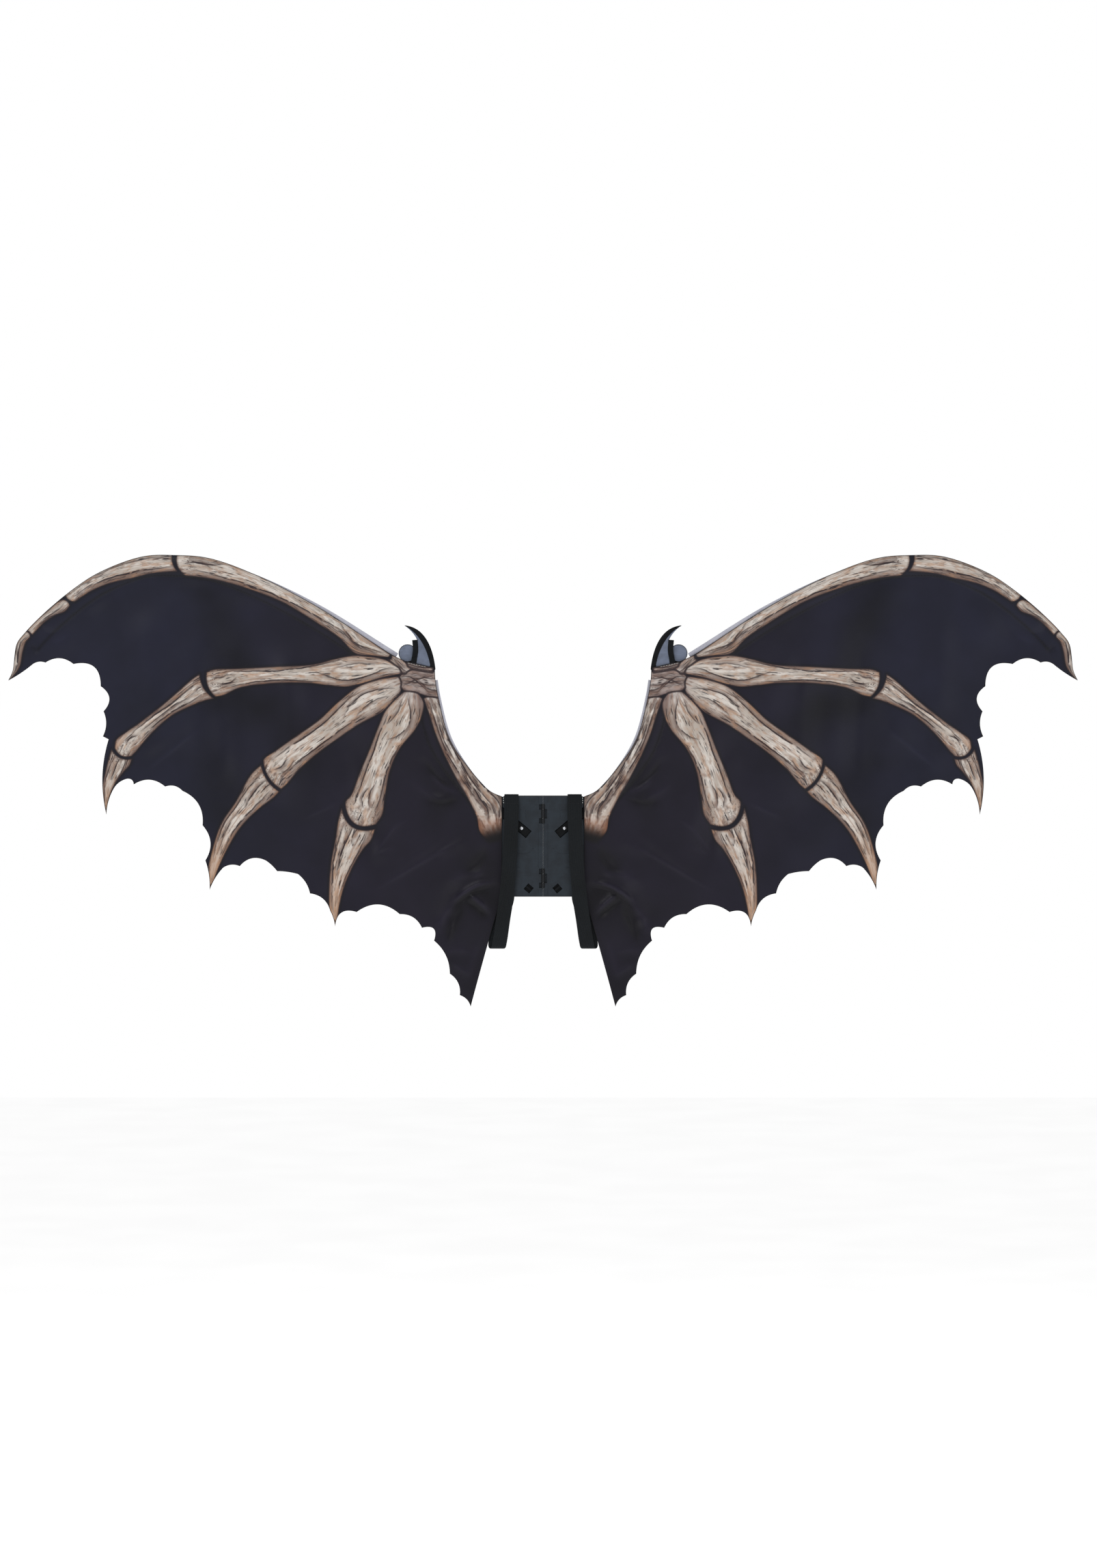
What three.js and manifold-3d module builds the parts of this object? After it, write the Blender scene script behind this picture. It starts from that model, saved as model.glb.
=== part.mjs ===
// Folding costume bat wings: two scalloped cloth wings on hidden arms, a hinged back plate and two straps.
// Millimetres, +Z up. The strap side faces -Y, and left and right are as seen from there.
// One side is worked out in the plane of u, the distance outboard of the hinge line, and z, the height above
// the middle of the plate. The other side is its mirror image.
import * as THREE from "three";
import { mergeVertices } from "three/addons/utils/BufferGeometryUtils.js";
import Module from "manifold-3d";

const wasm = await Module();
wasm.setup();

// Driving dimensions
const GAP = 0.3; // clearance between touching pieces
const PAST = 1; // how far a cutting shape runs past the face that it cuts
const ROUND_SIDES = { arc: 6, rod: 14, rivet: 12 };
const PLATE = { halfWidth: 56, height: 141, depth: 8, corner: 4, seam: 0.025 };
const FLANGE = { reach: 8, front: 4.9, low: -56, high: 69 }; // thin edge of the plate behind the cloth
const HINGE = {
  length: 26,
  middle: 45,
  radius: 2.4,
  bore: 1.3,
  pin: 1,
  share: 0.26,
  clearance: 0.6,
  notch: 5.6,
};
const FOLD_LAYER = 4; // depth of the wing's middle plane
const CLOTH = { wall: 1.2, grid: 28, channelRise: 4, channelHalf: 15, edgeStep: 10 };
const SLEEVE = { roundness: 0.6, rows: [-0.4, 0.4, 1] }; // how the cloth bulges over an arm
const CASING = { wall: 1, width: 31, rise: 2.4, tuck: 1, step: 22, rows: [0, 0.22, 0.5, 0.78, 1] };
const ARM = { width: 12, front: 1.8, back: 6.2, lapGap: 0.3, step: 12 };
const WRIST = { u: 172, z: 243, pin: 2.5, pinFront: 2, head: 4.5, headBack: 7.4 };
const WRIST_POCKET = { u: 176, z: 246, radius: 48 }; // where the cloth stands off the claw's root
const FOOT_CHANNEL = { u: 20, z: 16, angle: 40, length: 68, floor: 6.5 };
const RIVET = { u: 30, z: 25, radius: 2.8, height: 1.3 };
const CATCH_POCKET = { u: 20, z: -59, side: 10, angle: 40, floor: 5 };
const CATCH = { base: 1.2, barWidth: 2.6, barFront: 1.2 };
const STRAP = { width: 20, wall: 1.6 };
const STRAP_RECESS = { floor: 5.6, tall: 14, margin: 0.6 };
const CLAW = { webFront: 1.45, rimFront: 0.2, ribFront: 0.4, ribWidth: 7.2 };
const LOBE = { u: 189, z: 269, radius: 12.5 };

// Thumb claw: root corners inside the cloth, the two curves that meet at the tip, and the rim's inner curve
const CLAW_TIP = [194, 308];
const CLAW_HEEL = [150, 247];
const CLAW_ROOT = [[162, 234], [176, 238], [178, 257], [175, 286]];
const CLAW_HOLLOW = [181, 300];
const CLAW_BACK = [164, 306, 153, 275];
const CLAW_RIM_HEEL = [150.5, 251];
const CLAW_RIM_FOOT = [157, 253];
const CLAW_RIM_INNER = [160, 275, 169, 298];
const CLAW_RIB = [
  { u: 180, z: 259, width: CLAW.ribWidth },
  { u: 177.4, z: 273, width: CLAW.ribWidth },
  { u: 179.6, z: 288, width: CLAW.ribWidth },
];
const LOBE_NECK = [
  { u: 181, z: 246, width: 16 },
  { u: LOBE.u, z: LOBE.z, width: 20 },
];

const INK = { color: 0x26242c, roughness: 0.55, metalness: 0 };
const PALE_CLOTH = { color: 0xbcbcc8, roughness: 0.8, metalness: 0 };
const SLATE_PLASTIC = { color: 0x343942, roughness: 0.5, metalness: 0 };
const BLACK_PLASTIC = { color: 0x1a1c1f, roughness: 0.45, metalness: 0 };
const ELASTIC = { color: 0x1c2022, roughness: 0.9, metalness: 0 };
const STEEL = { color: 0xc8cbd0, roughness: 0.3, metalness: 1 };

// Leading edge of the wing, up the inner arm: lip is how far the pale casing shows past the cloth
const INNER_EDGE = [
  { u: 57, z: 69, lip: 0 },
  { u: 74, z: 77, lip: 0 },
  { u: 99, z: 105, lip: 1 },
  { u: 127, z: 150, lip: 3 },
  { u: 143, z: 208, lip: 3 },
  { u: 147, z: 232, lip: 3 },
  { u: 149, z: 249, lip: 2 },
];
// Leading edge of the wing, from the wrist over the peak to the tip
const TOP_EDGE = [
  { u: 192, z: 258, lip: 0 },
  { u: 204, z: 270, lip: 6 },
  { u: 312, z: 337, lip: 4 },
  { u: 404, z: 381, lip: 1 },
  { u: 467, z: 402, lip: 0 },
  { u: 513, z: 406, lip: 0 },
  { u: 559, z: 404, lip: 0 },
  { u: 619, z: 382, lip: 0 },
  { u: 655, z: 359, lip: 0 },
  { u: 697, z: 324, lip: 0 },
  { u: 724, z: 296, lip: 0 },
  { u: 734, z: 282, lip: 0 },
  { u: 740, z: 244, lip: 0 },
  { u: 746, z: 231, lip: 0 },
];
// Trailing edge from the inner tip to the wing tip: each row is a point of the hem, and bow is how deep the
// scallop after it cuts into the cloth
const SCALLOPS = [
  { u: 101, z: -224, bow: 3 },
  { u: 116, z: -208, bow: 5 },
  { u: 130, z: -178, bow: 6 },
  { u: 152, z: -132, bow: 11 },
  { u: 169, z: -114, bow: 6 },
  { u: 200, z: -95, bow: 12 },
  { u: 260, z: -92, bow: 11 },
  { u: 290, z: -112, bow: 1 },
  { u: 297, z: -90, bow: 6 },
  { u: 325, z: -66, bow: 3 },
  { u: 342, z: -39, bow: 1 },
  { u: 371, z: -35, bow: 1 },
  { u: 387, z: -20, bow: 7 },
  { u: 423, z: -28, bow: 3 },
  { u: 446, z: -30, bow: 2 },
  { u: 465, z: -61, bow: 2 },
  { u: 471, z: -20, bow: 9 },
  { u: 475, z: 29, bow: 10 },
  { u: 503, z: 77, bow: 4 },
  { u: 527, z: 83, bow: 8 },
  { u: 571, z: 86, bow: 3 },
  { u: 580, z: 94, bow: 3 },
  { u: 600, z: 78, bow: 2 },
  { u: 609, z: 44, bow: -7 },
  { u: 606, z: 149, bow: 0 },
  { u: 614, z: 153, bow: 4 },
  { u: 613, z: 188, bow: 10 },
  { u: 617, z: 223, bow: 15 },
  { u: 655, z: 254, bow: 7 },
  { u: 694, z: 256, bow: 3 },
  { u: 714, z: 252, bow: -1 },
];
const WING_TIP = { u: 746, z: 231 };
const CLOTH_LOW_CORNER = { u: 57, z: -66 }; // where the free inner hem leaves the plate
const PLATE_SIDE_BOW = 0.4; // ease of the sewn edge along the plate
const INNER_HEM_BOW = 0.5;
// Folds of the cloth: a crest from one end to the other, rise towards the strap side, width to its foot
const FOLDS = [
  { fromU: 72, fromZ: -50, toU: 127, toZ: -77, rise: 6, width: 12 },
  { fromU: 105, fromZ: -67, toU: 82, toZ: -90, rise: 4, width: 10 },
  { fromU: 118, fromZ: -48, toU: 141, toZ: -118, rise: -7, width: 18 },
  { fromU: 176, fromZ: 128, toU: 131, toZ: 84, rise: -6, width: 13 },
  { fromU: 156, fromZ: 58, toU: 112, toZ: 76, rise: 6, width: 13 },
  { fromU: 150, fromZ: -16, toU: 102, toZ: 12, rise: 5, width: 12 },
  { fromU: 571, fromZ: 104, toU: 471, toZ: 173, rise: 4, width: 14 },
  { fromU: 221, fromZ: -45, toU: 120, toZ: 28, rise: 5, width: 13 },
  { fromU: 452, fromZ: 330, toU: 436, toZ: 60, rise: -8, width: 34 },
  { fromU: 362, fromZ: 300, toU: 352, toZ: 20, rise: 8, width: 36 },
  { fromU: 560, fromZ: 340, toU: 548, toZ: 150, rise: 7, width: 30 },
  { fromU: 262, fromZ: 180, toU: 232, toZ: -40, rise: -8, width: 30 },
];
const FOLD_FADE = { start: 6, length: 26 }; // folds die out towards the sleeves and the plate

// Middle line and width of each arm
const CLAW_ARM = [
  { u: 20.5, z: 16.5, width: 11.8 },
  { u: 57, z: 47, width: 11.8 },
  { u: 90, z: 75, width: 12 },
  { u: 111, z: 95, width: 12 },
  { u: 144, z: 143, width: 12 },
  { u: 162, z: 204, width: 12 },
  { u: 169, z: 232, width: 13 },
  { u: 173, z: 250, width: 14 },
];
const WING_ARM = [
  { u: 166, z: 241, width: 13 },
  { u: 182, z: 246, width: 13 },
  { u: 214, z: 253, width: 13 },
  { u: 322, z: 321, width: 12 },
  { u: 410, z: 366, width: 11 },
  { u: 467, z: 387, width: 11 },
  { u: 513, z: 391, width: 10 },
  { u: 556, z: 389, width: 10 },
  { u: 611, z: 368, width: 9 },
  { u: 645, z: 346, width: 8 },
  { u: 686, z: 313, width: 7 },
];
// Where each arm thins to half its depth for the wrist, and how far the two stretches of the arm overlap
const LAP = { clawArmZ: 214, clawArmOverlap: 8, wingArmU: 206, wingArmOverlap: 20 };

// Route of the strap: over the plate's top edge, down the front, round the loop and up to the rear
const STRAP_ROUTE = [
  { u: 44, y: 6.7, z: 58.5 },
  { u: 44, y: 6.7, z: 69.8 },
  { u: 44, y: 6.3, z: 71.3 },
  { u: 44, y: 5.2, z: 71.7 },
  { u: 44, y: 0.2, z: 71.7 },
  { u: 44, y: -0.9, z: 71.3 },
  { u: 44, y: -1.5, z: 70 },
  { u: 44, y: -4, z: 60 },
  { u: 44, y: -6, z: 49 },
  { u: 44.4, y: -7.1, z: 30 },
  { u: 45.4, y: -7.4, z: 5 },
  { u: 47, y: -7.2, z: -25 },
  { u: 49, y: -6.6, z: -50 },
  { u: 52, y: -5.6, z: -78 },
  { u: 56, y: -4.4, z: -105 },
  { u: 59.4, y: -3.2, z: -128 },
  { u: 61, y: -2.6, z: -136.5 },
  { u: 62, y: -1.2, z: -140.8 },
  { u: 64, y: 1.6, z: -142.6 },
  { u: 66, y: 4.4, z: -140.8 },
  { u: 66.6, y: 5.8, z: -136.5 },
  { u: 63, y: 6.8, z: -118 },
  { u: 57, y: 7, z: -95 },
  { u: 51, y: 6.7, z: -78 },
  { u: 49, y: 6.7, z: -59 },
];

// Plane geometry in u and z
const point = (row) => new THREE.Vector2(row.u, row.z);
const radians = THREE.MathUtils.degToRad;

// Points along a smooth curve through the rows, about step apart, each with the row's extra column.
function smoothPath(rows, column, step) {
  const curve = new THREE.CatmullRomCurve3(
    rows.map((row) => new THREE.Vector3(row.u, row[column], row.z)),
    false,
    "centripetal",
  );
  const count = Math.ceil(curve.getLength() / step);
  return curve.getSpacedPoints(count).map((p) => ({ u: p.x, z: p.z, [column]: p.y }));
}

// Unit vectors to the right of the direction of travel at each point of a path.
function rightNormals(path) {
  return path.map((_, i) => {
    const before = point(path[Math.max(i - 1, 0)]);
    const after = point(path[Math.min(i + 1, path.length - 1)]);
    const along = after.sub(before).normalize();
    return new THREE.Vector2(along.y, -along.x);
  });
}

// Points of a shallow curve from one point to the other, bowed to the left of travel, without the last point.
function bowedEdge(from, to, bow, step) {
  const chord = to.clone().sub(from);
  const left = new THREE.Vector2(-chord.y, chord.x).normalize();
  const count = Math.max(1, Math.round((chord.length() + Math.abs(bow)) / step));
  return Array.from({ length: count }, (_, i) => {
    const t = i / count;
    return from.clone().addScaledVector(chord, t).addScaledVector(left, 4 * bow * t * (1 - t));
  });
}

// Nearest distance from a point to a chain of points.
function distanceToPath(at, path) {
  let nearest = Infinity;
  for (let i = 0; i + 1 < path.length; i++) {
    const from = path[i];
    const span = path[i + 1].clone().sub(from);
    const t = THREE.MathUtils.clamp(at.clone().sub(from).dot(span) / span.lengthSq(), 0, 1);
    nearest = Math.min(nearest, at.distanceTo(from.clone().addScaledVector(span, t)));
  }
  return nearest;
}

// True where a point lies inside a closed outline.
function inside(at, outline) {
  let within = false;
  outline.forEach((a, i) => {
    const b = outline[(i + 1) % outline.length];
    const crosses = a.y > at.y !== b.y > at.y;
    if (crosses && at.x < ((b.x - a.x) * (at.y - a.y)) / (b.y - a.y) + a.x) within = !within;
  });
  return within;
}

// True where d lies inside the circle through a, b and c, which run anticlockwise.
function inCircle(a, b, c, d) {
  const [p, q, r] = [a, b, c].map((v) => ({ x: v.x - d.x, y: v.y - d.y, w: v.distanceToSquared(d) }));
  const det = p.x * (q.y * r.w - q.w * r.y) - p.y * (q.x * r.w - q.w * r.x) + p.w * (q.x * r.y - q.y * r.x);
  return det > 1e-6;
}

const turns = (a, b, c) => (b.x - a.x) * (c.y - a.y) - (b.y - a.y) * (c.x - a.x);

// Triangles that fill an outline and use every inner point, turned edge by edge until they are well shaped.
function fillOutline(outline, inner) {
  const points = [...outline, ...inner];
  const faces = THREE.ShapeUtils.triangulateShape(outline, inner.map((p) => [p]));
  const owners = new Map();
  const key = (a, b) => a * points.length + b;
  const own = (face) => [0, 1, 2].forEach((k) => owners.set(key(face[k], face[(k + 1) % 3]), face));
  faces.forEach((face) => {
    if (turns(...face.map((i) => points[i])) < 0) face.reverse();
    own(face);
  });
  const waiting = [...faces];
  while (waiting.length) {
    const face = waiting.pop();
    for (let k = 0; k < 3; k++) {
      const [a, b, c] = [face[k], face[(k + 1) % 3], face[(k + 2) % 3]];
      const other = owners.get(key(b, a));
      if (!other) continue;
      const d = other.find((i) => i !== a && i !== b);
      const [pa, pb, pc, pd] = [a, b, c, d].map((i) => points[i]);
      if (turns(pa, pd, pc) <= 0 || turns(pd, pb, pc) <= 0 || !inCircle(pa, pb, pc, pd)) continue;
      owners.delete(key(a, b));
      owners.delete(key(b, a));
      face.splice(0, 3, a, d, c);
      other.splice(0, 3, d, b, c);
      own(face);
      own(other);
      waiting.push(face, other);
      break;
    }
  }
  return { points, faces };
}

// Solids
function geometryFrom(positions, triangles) {
  const geometry = new THREE.BufferGeometry();
  geometry.setAttribute("position", new THREE.Float32BufferAttribute(positions, 3));
  geometry.setIndex(triangles);
  return geometry;
}

// A wall of even depth on a filled outline, with its middle at the depth that depthAt gives.
function sheetGeometry({ points, faces }, depthAt, wall) {
  const layer = (shift) => points.flatMap((p) => [p.x, depthAt(p) + shift, p.y]);
  const back = points.length;
  const edges = new Set(faces.flatMap(([a, b, c]) => [`${a} ${b}`, `${b} ${c}`, `${c} ${a}`]));
  const rim = [...edges]
    .map((edge) => edge.split(" ").map(Number))
    .filter(([a, b]) => !edges.has(`${b} ${a}`))
    .flatMap(([a, b]) => [b, a, a + back, b, a + back, b + back]);
  const front = faces.flat();
  const rear = faces.flatMap(([a, b, c]) => [a + back, c + back, b + back]);
  return geometryFrom([...layer(-wall / 2), ...layer(wall / 2)], [...front, ...rear, ...rim]);
}

// A flat outline in u and z, as deep as from front to back.
function slab(shape, front, back) {
  const geometry = new THREE.ExtrudeGeometry(shape, {
    depth: back - front,
    bevelEnabled: false,
    curveSegments: ROUND_SIDES.arc,
  });
  return geometry.rotateX(Math.PI / 2).translate(0, back, 0);
}

function rectangle(width, height, corner = 0) {
  const [w, h] = [width / 2, height / 2];
  const shape = new THREE.Shape();
  const corners = [[w, -h], [w, h], [-w, h], [-w, -h]];
  shape.moveTo(-w + corner, -h);
  corners.forEach(([x, z], i) => {
    const [beforeX, beforeZ] = corners[(i + 3) % 4];
    const [afterX, afterZ] = corners[(i + 1) % 4];
    const towards = (from, to) => from + Math.sign(to - from) * corner;
    shape.lineTo(towards(x, beforeX), towards(z, beforeZ));
    if (corner) shape.quadraticCurveTo(x, z, towards(x, afterX), towards(z, afterZ));
  });
  return shape;
}

function disc(u, z, radius) {
  return new THREE.Shape().absarc(u, z, radius, 0, Math.PI * 2);
}

// Outline of a bar that follows a path, as wide at each point as the path says.
function barShape(path) {
  const normals = rightNormals(path);
  const side = (sign) =>
    path.map((row, i) => point(row).addScaledVector(normals[i], (sign * row.width) / 2));
  return new THREE.Shape([...side(1), ...side(-1).reverse()]);
}

// A rod along z.
function rod(radius, low, high) {
  const geometry = new THREE.CylinderGeometry(radius, radius, high - low, ROUND_SIDES.rod);
  return geometry.rotateX(Math.PI / 2).translate(0, 0, (low + high) / 2);
}

// A rod along y at a place on the wing.
function post(place, radius, front, back) {
  return slab(disc(place.u, place.z, radius), front, back);
}

function solid(geometry) {
  const bare = geometry.clone();
  bare.deleteAttribute("normal");
  bare.deleteAttribute("uv");
  const merged = mergeVertices(bare, 1e-4);
  return new wasm.Manifold(
    new wasm.Mesh({
      numProp: 3,
      vertProperties: merged.attributes.position.array,
      triVerts: new Uint32Array(merged.index.array),
    }),
  );
}

function join(...geometries) {
  return geometries.map(solid).reduce((all, next) => all.add(next));
}

function cut(body, ...geometries) {
  return geometries.map(solid).reduce((left, next) => left.subtract(next), body);
}

function geometryOf(body) {
  const mesh = body.getMesh();
  return geometryFrom(Array.from(mesh.vertProperties), Array.from(mesh.triVerts));
}

function mirrored(geometry) {
  const copy = geometry.clone().scale(-1, 1, 1);
  const index = copy.index.array;
  for (let i = 0; i < index.length; i += 3) [index[i + 1], index[i + 2]] = [index[i + 2], index[i + 1]];
  return copy;
}

// Wing cloth
const innerEdge = smoothPath(INNER_EDGE, "lip", CLOTH.edgeStep);
const topEdge = smoothPath(TOP_EDGE, "lip", CLOTH.edgeStep);
const clawArmPath = smoothPath(CLAW_ARM, "width", ARM.step);
const wingArmPath = smoothPath(WING_ARM, "width", ARM.step);
const armLines = [clawArmPath, wingArmPath].map((path) => path.map(point));

// The edge of the cloth lies inside the casing's edge by the lip.
function clothEdge(path) {
  const normals = rightNormals(path);
  return path.map((row, i) => point(row).addScaledVector(normals[i], row.lip));
}

function clothOutline() {
  const hem = SCALLOPS.flatMap((row, i) => {
    const next = SCALLOPS[i + 1] ?? WING_TIP;
    return bowedEdge(point(row), point(next), row.bow, CLOTH.edgeStep);
  });
  const leading = [...clothEdge(innerEdge), ...clothEdge(topEdge)];
  const low = point(CLOTH_LOW_CORNER);
  const plateSide = bowedEdge(leading[0], low, PLATE_SIDE_BOW, CLOTH.channelHalf / 3).slice(1);
  const innerHem = bowedEdge(low, hem[0], INNER_HEM_BOW, CLOTH.edgeStep * 1.5);
  return [...hem, ...leading.reverse(), ...plateSide, ...innerHem];
}

const foldLine = (fold) => [
  new THREE.Vector2(fold.fromU, fold.fromZ),
  new THREE.Vector2(fold.toU, fold.toZ),
];

// 1 along the middle of a sleeve, falling to 0 at its stitched sides.
function bulge(share) {
  return share < 1 ? (1 - share * share) ** SLEEVE.roundness : 0;
}

const armDistance = (at) => Math.min(...armLines.map((line) => distanceToPath(at, line)));

// Depth of the middle of the cloth at a place on the wing.
function clothDepth(at) {
  const fromArm = armDistance(at);
  const pocket = at.distanceTo(point(WRIST_POCKET)) / WRIST_POCKET.radius;
  const sleeve = Math.max(bulge(fromArm / CLOTH.channelHalf), bulge(pocket));
  const open = Math.min(fromArm - CLOTH.channelHalf, at.x - PLATE.halfWidth - FLANGE.reach);
  const free = THREE.MathUtils.smoothstep(open, FOLD_FADE.start, FOLD_FADE.start + FOLD_FADE.length);
  const relief = FOLDS.reduce((sum, fold) => {
    const share = distanceToPath(at, foldLine(fold)) / fold.width;
    return sum + fold.rise * Math.exp(-2 * share * share);
  }, 0);
  return FOLD_LAYER - CLOTH.channelRise * sleeve - free * relief;
}

// Even field of points over the wing: its rows arch and the folds' rows sway, so that no three are in line
const FIELD = { low: -228, tall: 640, middle: 400, archScale: 90, sway: 1.5 };
// Least distance between those points, and to the hem as a share of it
const ROOM = { sleeve: 7, fold: 9, foldStep: 22, fieldShare: 0.55, hemShare: 0.6 };

// Points inside the cloth: rows along the sleeves, rows along the folds, then the even field.
function clothInnerPoints(outline) {
  const kept = [];
  const closed = [...outline, outline[0]];
  const offer = (at, room) => {
    const clear = kept.every((p) => p.distanceTo(at) > room);
    if (clear && inside(at, outline) && distanceToPath(at, closed) > room * ROOM.hemShare) kept.push(at);
  };
  for (const line of armLines) {
    const rows = line.map((p) => ({ u: p.x, z: p.y }));
    const normals = rightNormals(rows);
    for (const share of SLEEVE.rows) {
      const shift = share * CLOTH.channelHalf;
      line.forEach((p, i) => offer(p.clone().addScaledVector(normals[i], shift), ROOM.sleeve));
    }
  }
  for (const fold of FOLDS) {
    const [from, to] = foldLine(fold);
    const along = to.clone().sub(from);
    const across = new THREE.Vector2(-along.y, along.x).normalize();
    const count = Math.max(2, Math.round(along.length() / ROOM.foldStep));
    for (const share of [0, -1, 1]) {
      for (let i = 0; i <= count; i++) {
        const at = from.clone().addScaledVector(along, i / count);
        const sway = FIELD.sway * Math.sin((Math.PI * i) / count);
        offer(at.addScaledVector(across, share * fold.width + sway), ROOM.fold);
      }
    }
  }
  const rise = (CLOTH.grid * Math.sqrt(3)) / 2;
  for (let row = 0; row * rise < FIELD.tall; row++) {
    for (let column = 0; column * CLOTH.grid < WING_TIP.u; column++) {
      const u = (column + (row % 2) / 2) * CLOTH.grid;
      const arch = ((u - FIELD.middle) / FIELD.archScale) ** 2;
      offer(new THREE.Vector2(u, FIELD.low + row * rise + arch), CLOTH.grid * ROOM.fieldShare);
    }
  }
  return kept;
}

function wingCloth() {
  const outline = clothOutline();
  return sheetGeometry(fillOutline(outline, clothInnerPoints(outline)), clothDepth, CLOTH.wall);
}

// Casing strips: a grid along the leading edge, behind the cloth and round the arm
function casing(rows) {
  const path = smoothPath(rows, "lip", CASING.step);
  const normals = rightNormals(path);
  const most = Math.max(...rows.map((row) => row.lip));
  const points = path.flatMap((row, i) => {
    const start = CASING.tuck * (1 - row.lip / most);
    return CASING.rows.map((share) => {
      const inset = THREE.MathUtils.lerp(start, CASING.width + row.lip, share);
      return point(row).addScaledVector(normals[i], inset);
    });
  });
  const faces = [];
  const wide = CASING.rows.length;
  for (let i = 0; i + 1 < path.length; i++) {
    for (let k = 0; k + 1 < wide; k++) {
      const a = i * wide + k;
      faces.push([a, a + 1, a + wide], [a + 1, a + wide + 1, a + wide]);
    }
  }
  const flat = FOLD_LAYER + CLOTH.wall / 2 + GAP + CASING.wall / 2;
  const depthAt = (at) => flat + CASING.rise * bulge(armDistance(at) / CLOTH.channelHalf);
  return sheetGeometry({ points, faces }, depthAt, CASING.wall);
}

// Arms
function clawOutline() {
  const shape = new THREE.Shape();
  shape.moveTo(...CLAW_HEEL);
  CLAW_ROOT.forEach((corner) => shape.lineTo(...corner));
  shape.quadraticCurveTo(...CLAW_HOLLOW, ...CLAW_TIP);
  shape.bezierCurveTo(...CLAW_BACK, ...CLAW_HEEL);
  return shape;
}

function clawRim() {
  const shape = new THREE.Shape();
  shape.moveTo(...CLAW_RIM_FOOT);
  shape.bezierCurveTo(...CLAW_RIM_INNER, ...CLAW_TIP);
  shape.bezierCurveTo(...CLAW_BACK, ...CLAW_RIM_HEEL);
  return shape;
}

const lapMiddle = (ARM.front + ARM.back) / 2;
const lapFront = lapMiddle - ARM.lapGap / 2;
const lapBack = lapMiddle + ARM.lapGap / 2;

function clawArm() {
  const thick = clawArmPath.filter((row) => row.z < LAP.clawArmZ + LAP.clawArmOverlap);
  const thin = clawArmPath.filter((row) => row.z > LAP.clawArmZ - LAP.clawArmOverlap);
  const body = join(
    slab(barShape(thick), ARM.front, ARM.back),
    slab(barShape(thin), ARM.front, lapFront),
    slab(clawOutline(), CLAW.webFront, lapFront),
    slab(clawRim(), CLAW.rimFront, lapFront),
    slab(barShape(CLAW_RIB), CLAW.ribFront, lapFront),
  );
  return geometryOf(cut(body, post(WRIST, WRIST.pin + GAP, 0, PLATE.depth)));
}

function wingArm() {
  const thick = wingArmPath.filter((row) => row.u > LAP.wingArmU);
  const thin = wingArmPath.filter((row) => row.u < LAP.wingArmU + LAP.wingArmOverlap);
  const body = join(
    slab(barShape(thick), ARM.front, ARM.back),
    slab(barShape(thin), lapBack, ARM.back),
    slab(barShape(LOBE_NECK), lapBack, ARM.back),
    slab(disc(LOBE.u, LOBE.z, LOBE.radius), lapBack, ARM.back),
  );
  return geometryOf(cut(body, post(WRIST, WRIST.pin + GAP, 0, PLATE.depth)));
}

function wristPin() {
  const shank = post(WRIST, WRIST.pin, WRIST.pinFront, WRIST.headBack);
  return geometryOf(join(shank, post(WRIST, WRIST.head, ARM.back + GAP, WRIST.headBack)));
}

function armRivet() {
  const base = ARM.front - GAP;
  const profile = [
    [0, 0],
    [1, 0],
    [0.94, 0.5],
    [0.6, 0.88],
    [0, 1],
  ].map(([r, h]) => new THREE.Vector2(r * RIVET.radius, h * RIVET.height));
  const button = new THREE.LatheGeometry(profile, ROUND_SIDES.rivet);
  return button.rotateX(Math.PI).translate(RIVET.u, base, RIVET.z);
}

// Back plate
function turnedBox(place, width, height, front, back) {
  const geometry = slab(rectangle(width, height), front, back);
  return geometry.rotateY(-radians(place.angle)).translate(place.u, 0, place.z);
}

// Stretches of z that one half's knuckles take: the two ends of each hinge, or its middle.
function hingeStretches(outer) {
  const half = HINGE.length / 2;
  const end = HINGE.length * HINGE.share;
  const stretches = outer ? [[-half, -half + end], [half - end, half]] : [[-half + end, half - end]];
  return [HINGE.middle, -HINGE.middle].flatMap((z) => stretches.map(([low, high]) => [z + low, z + high]));
}

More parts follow.
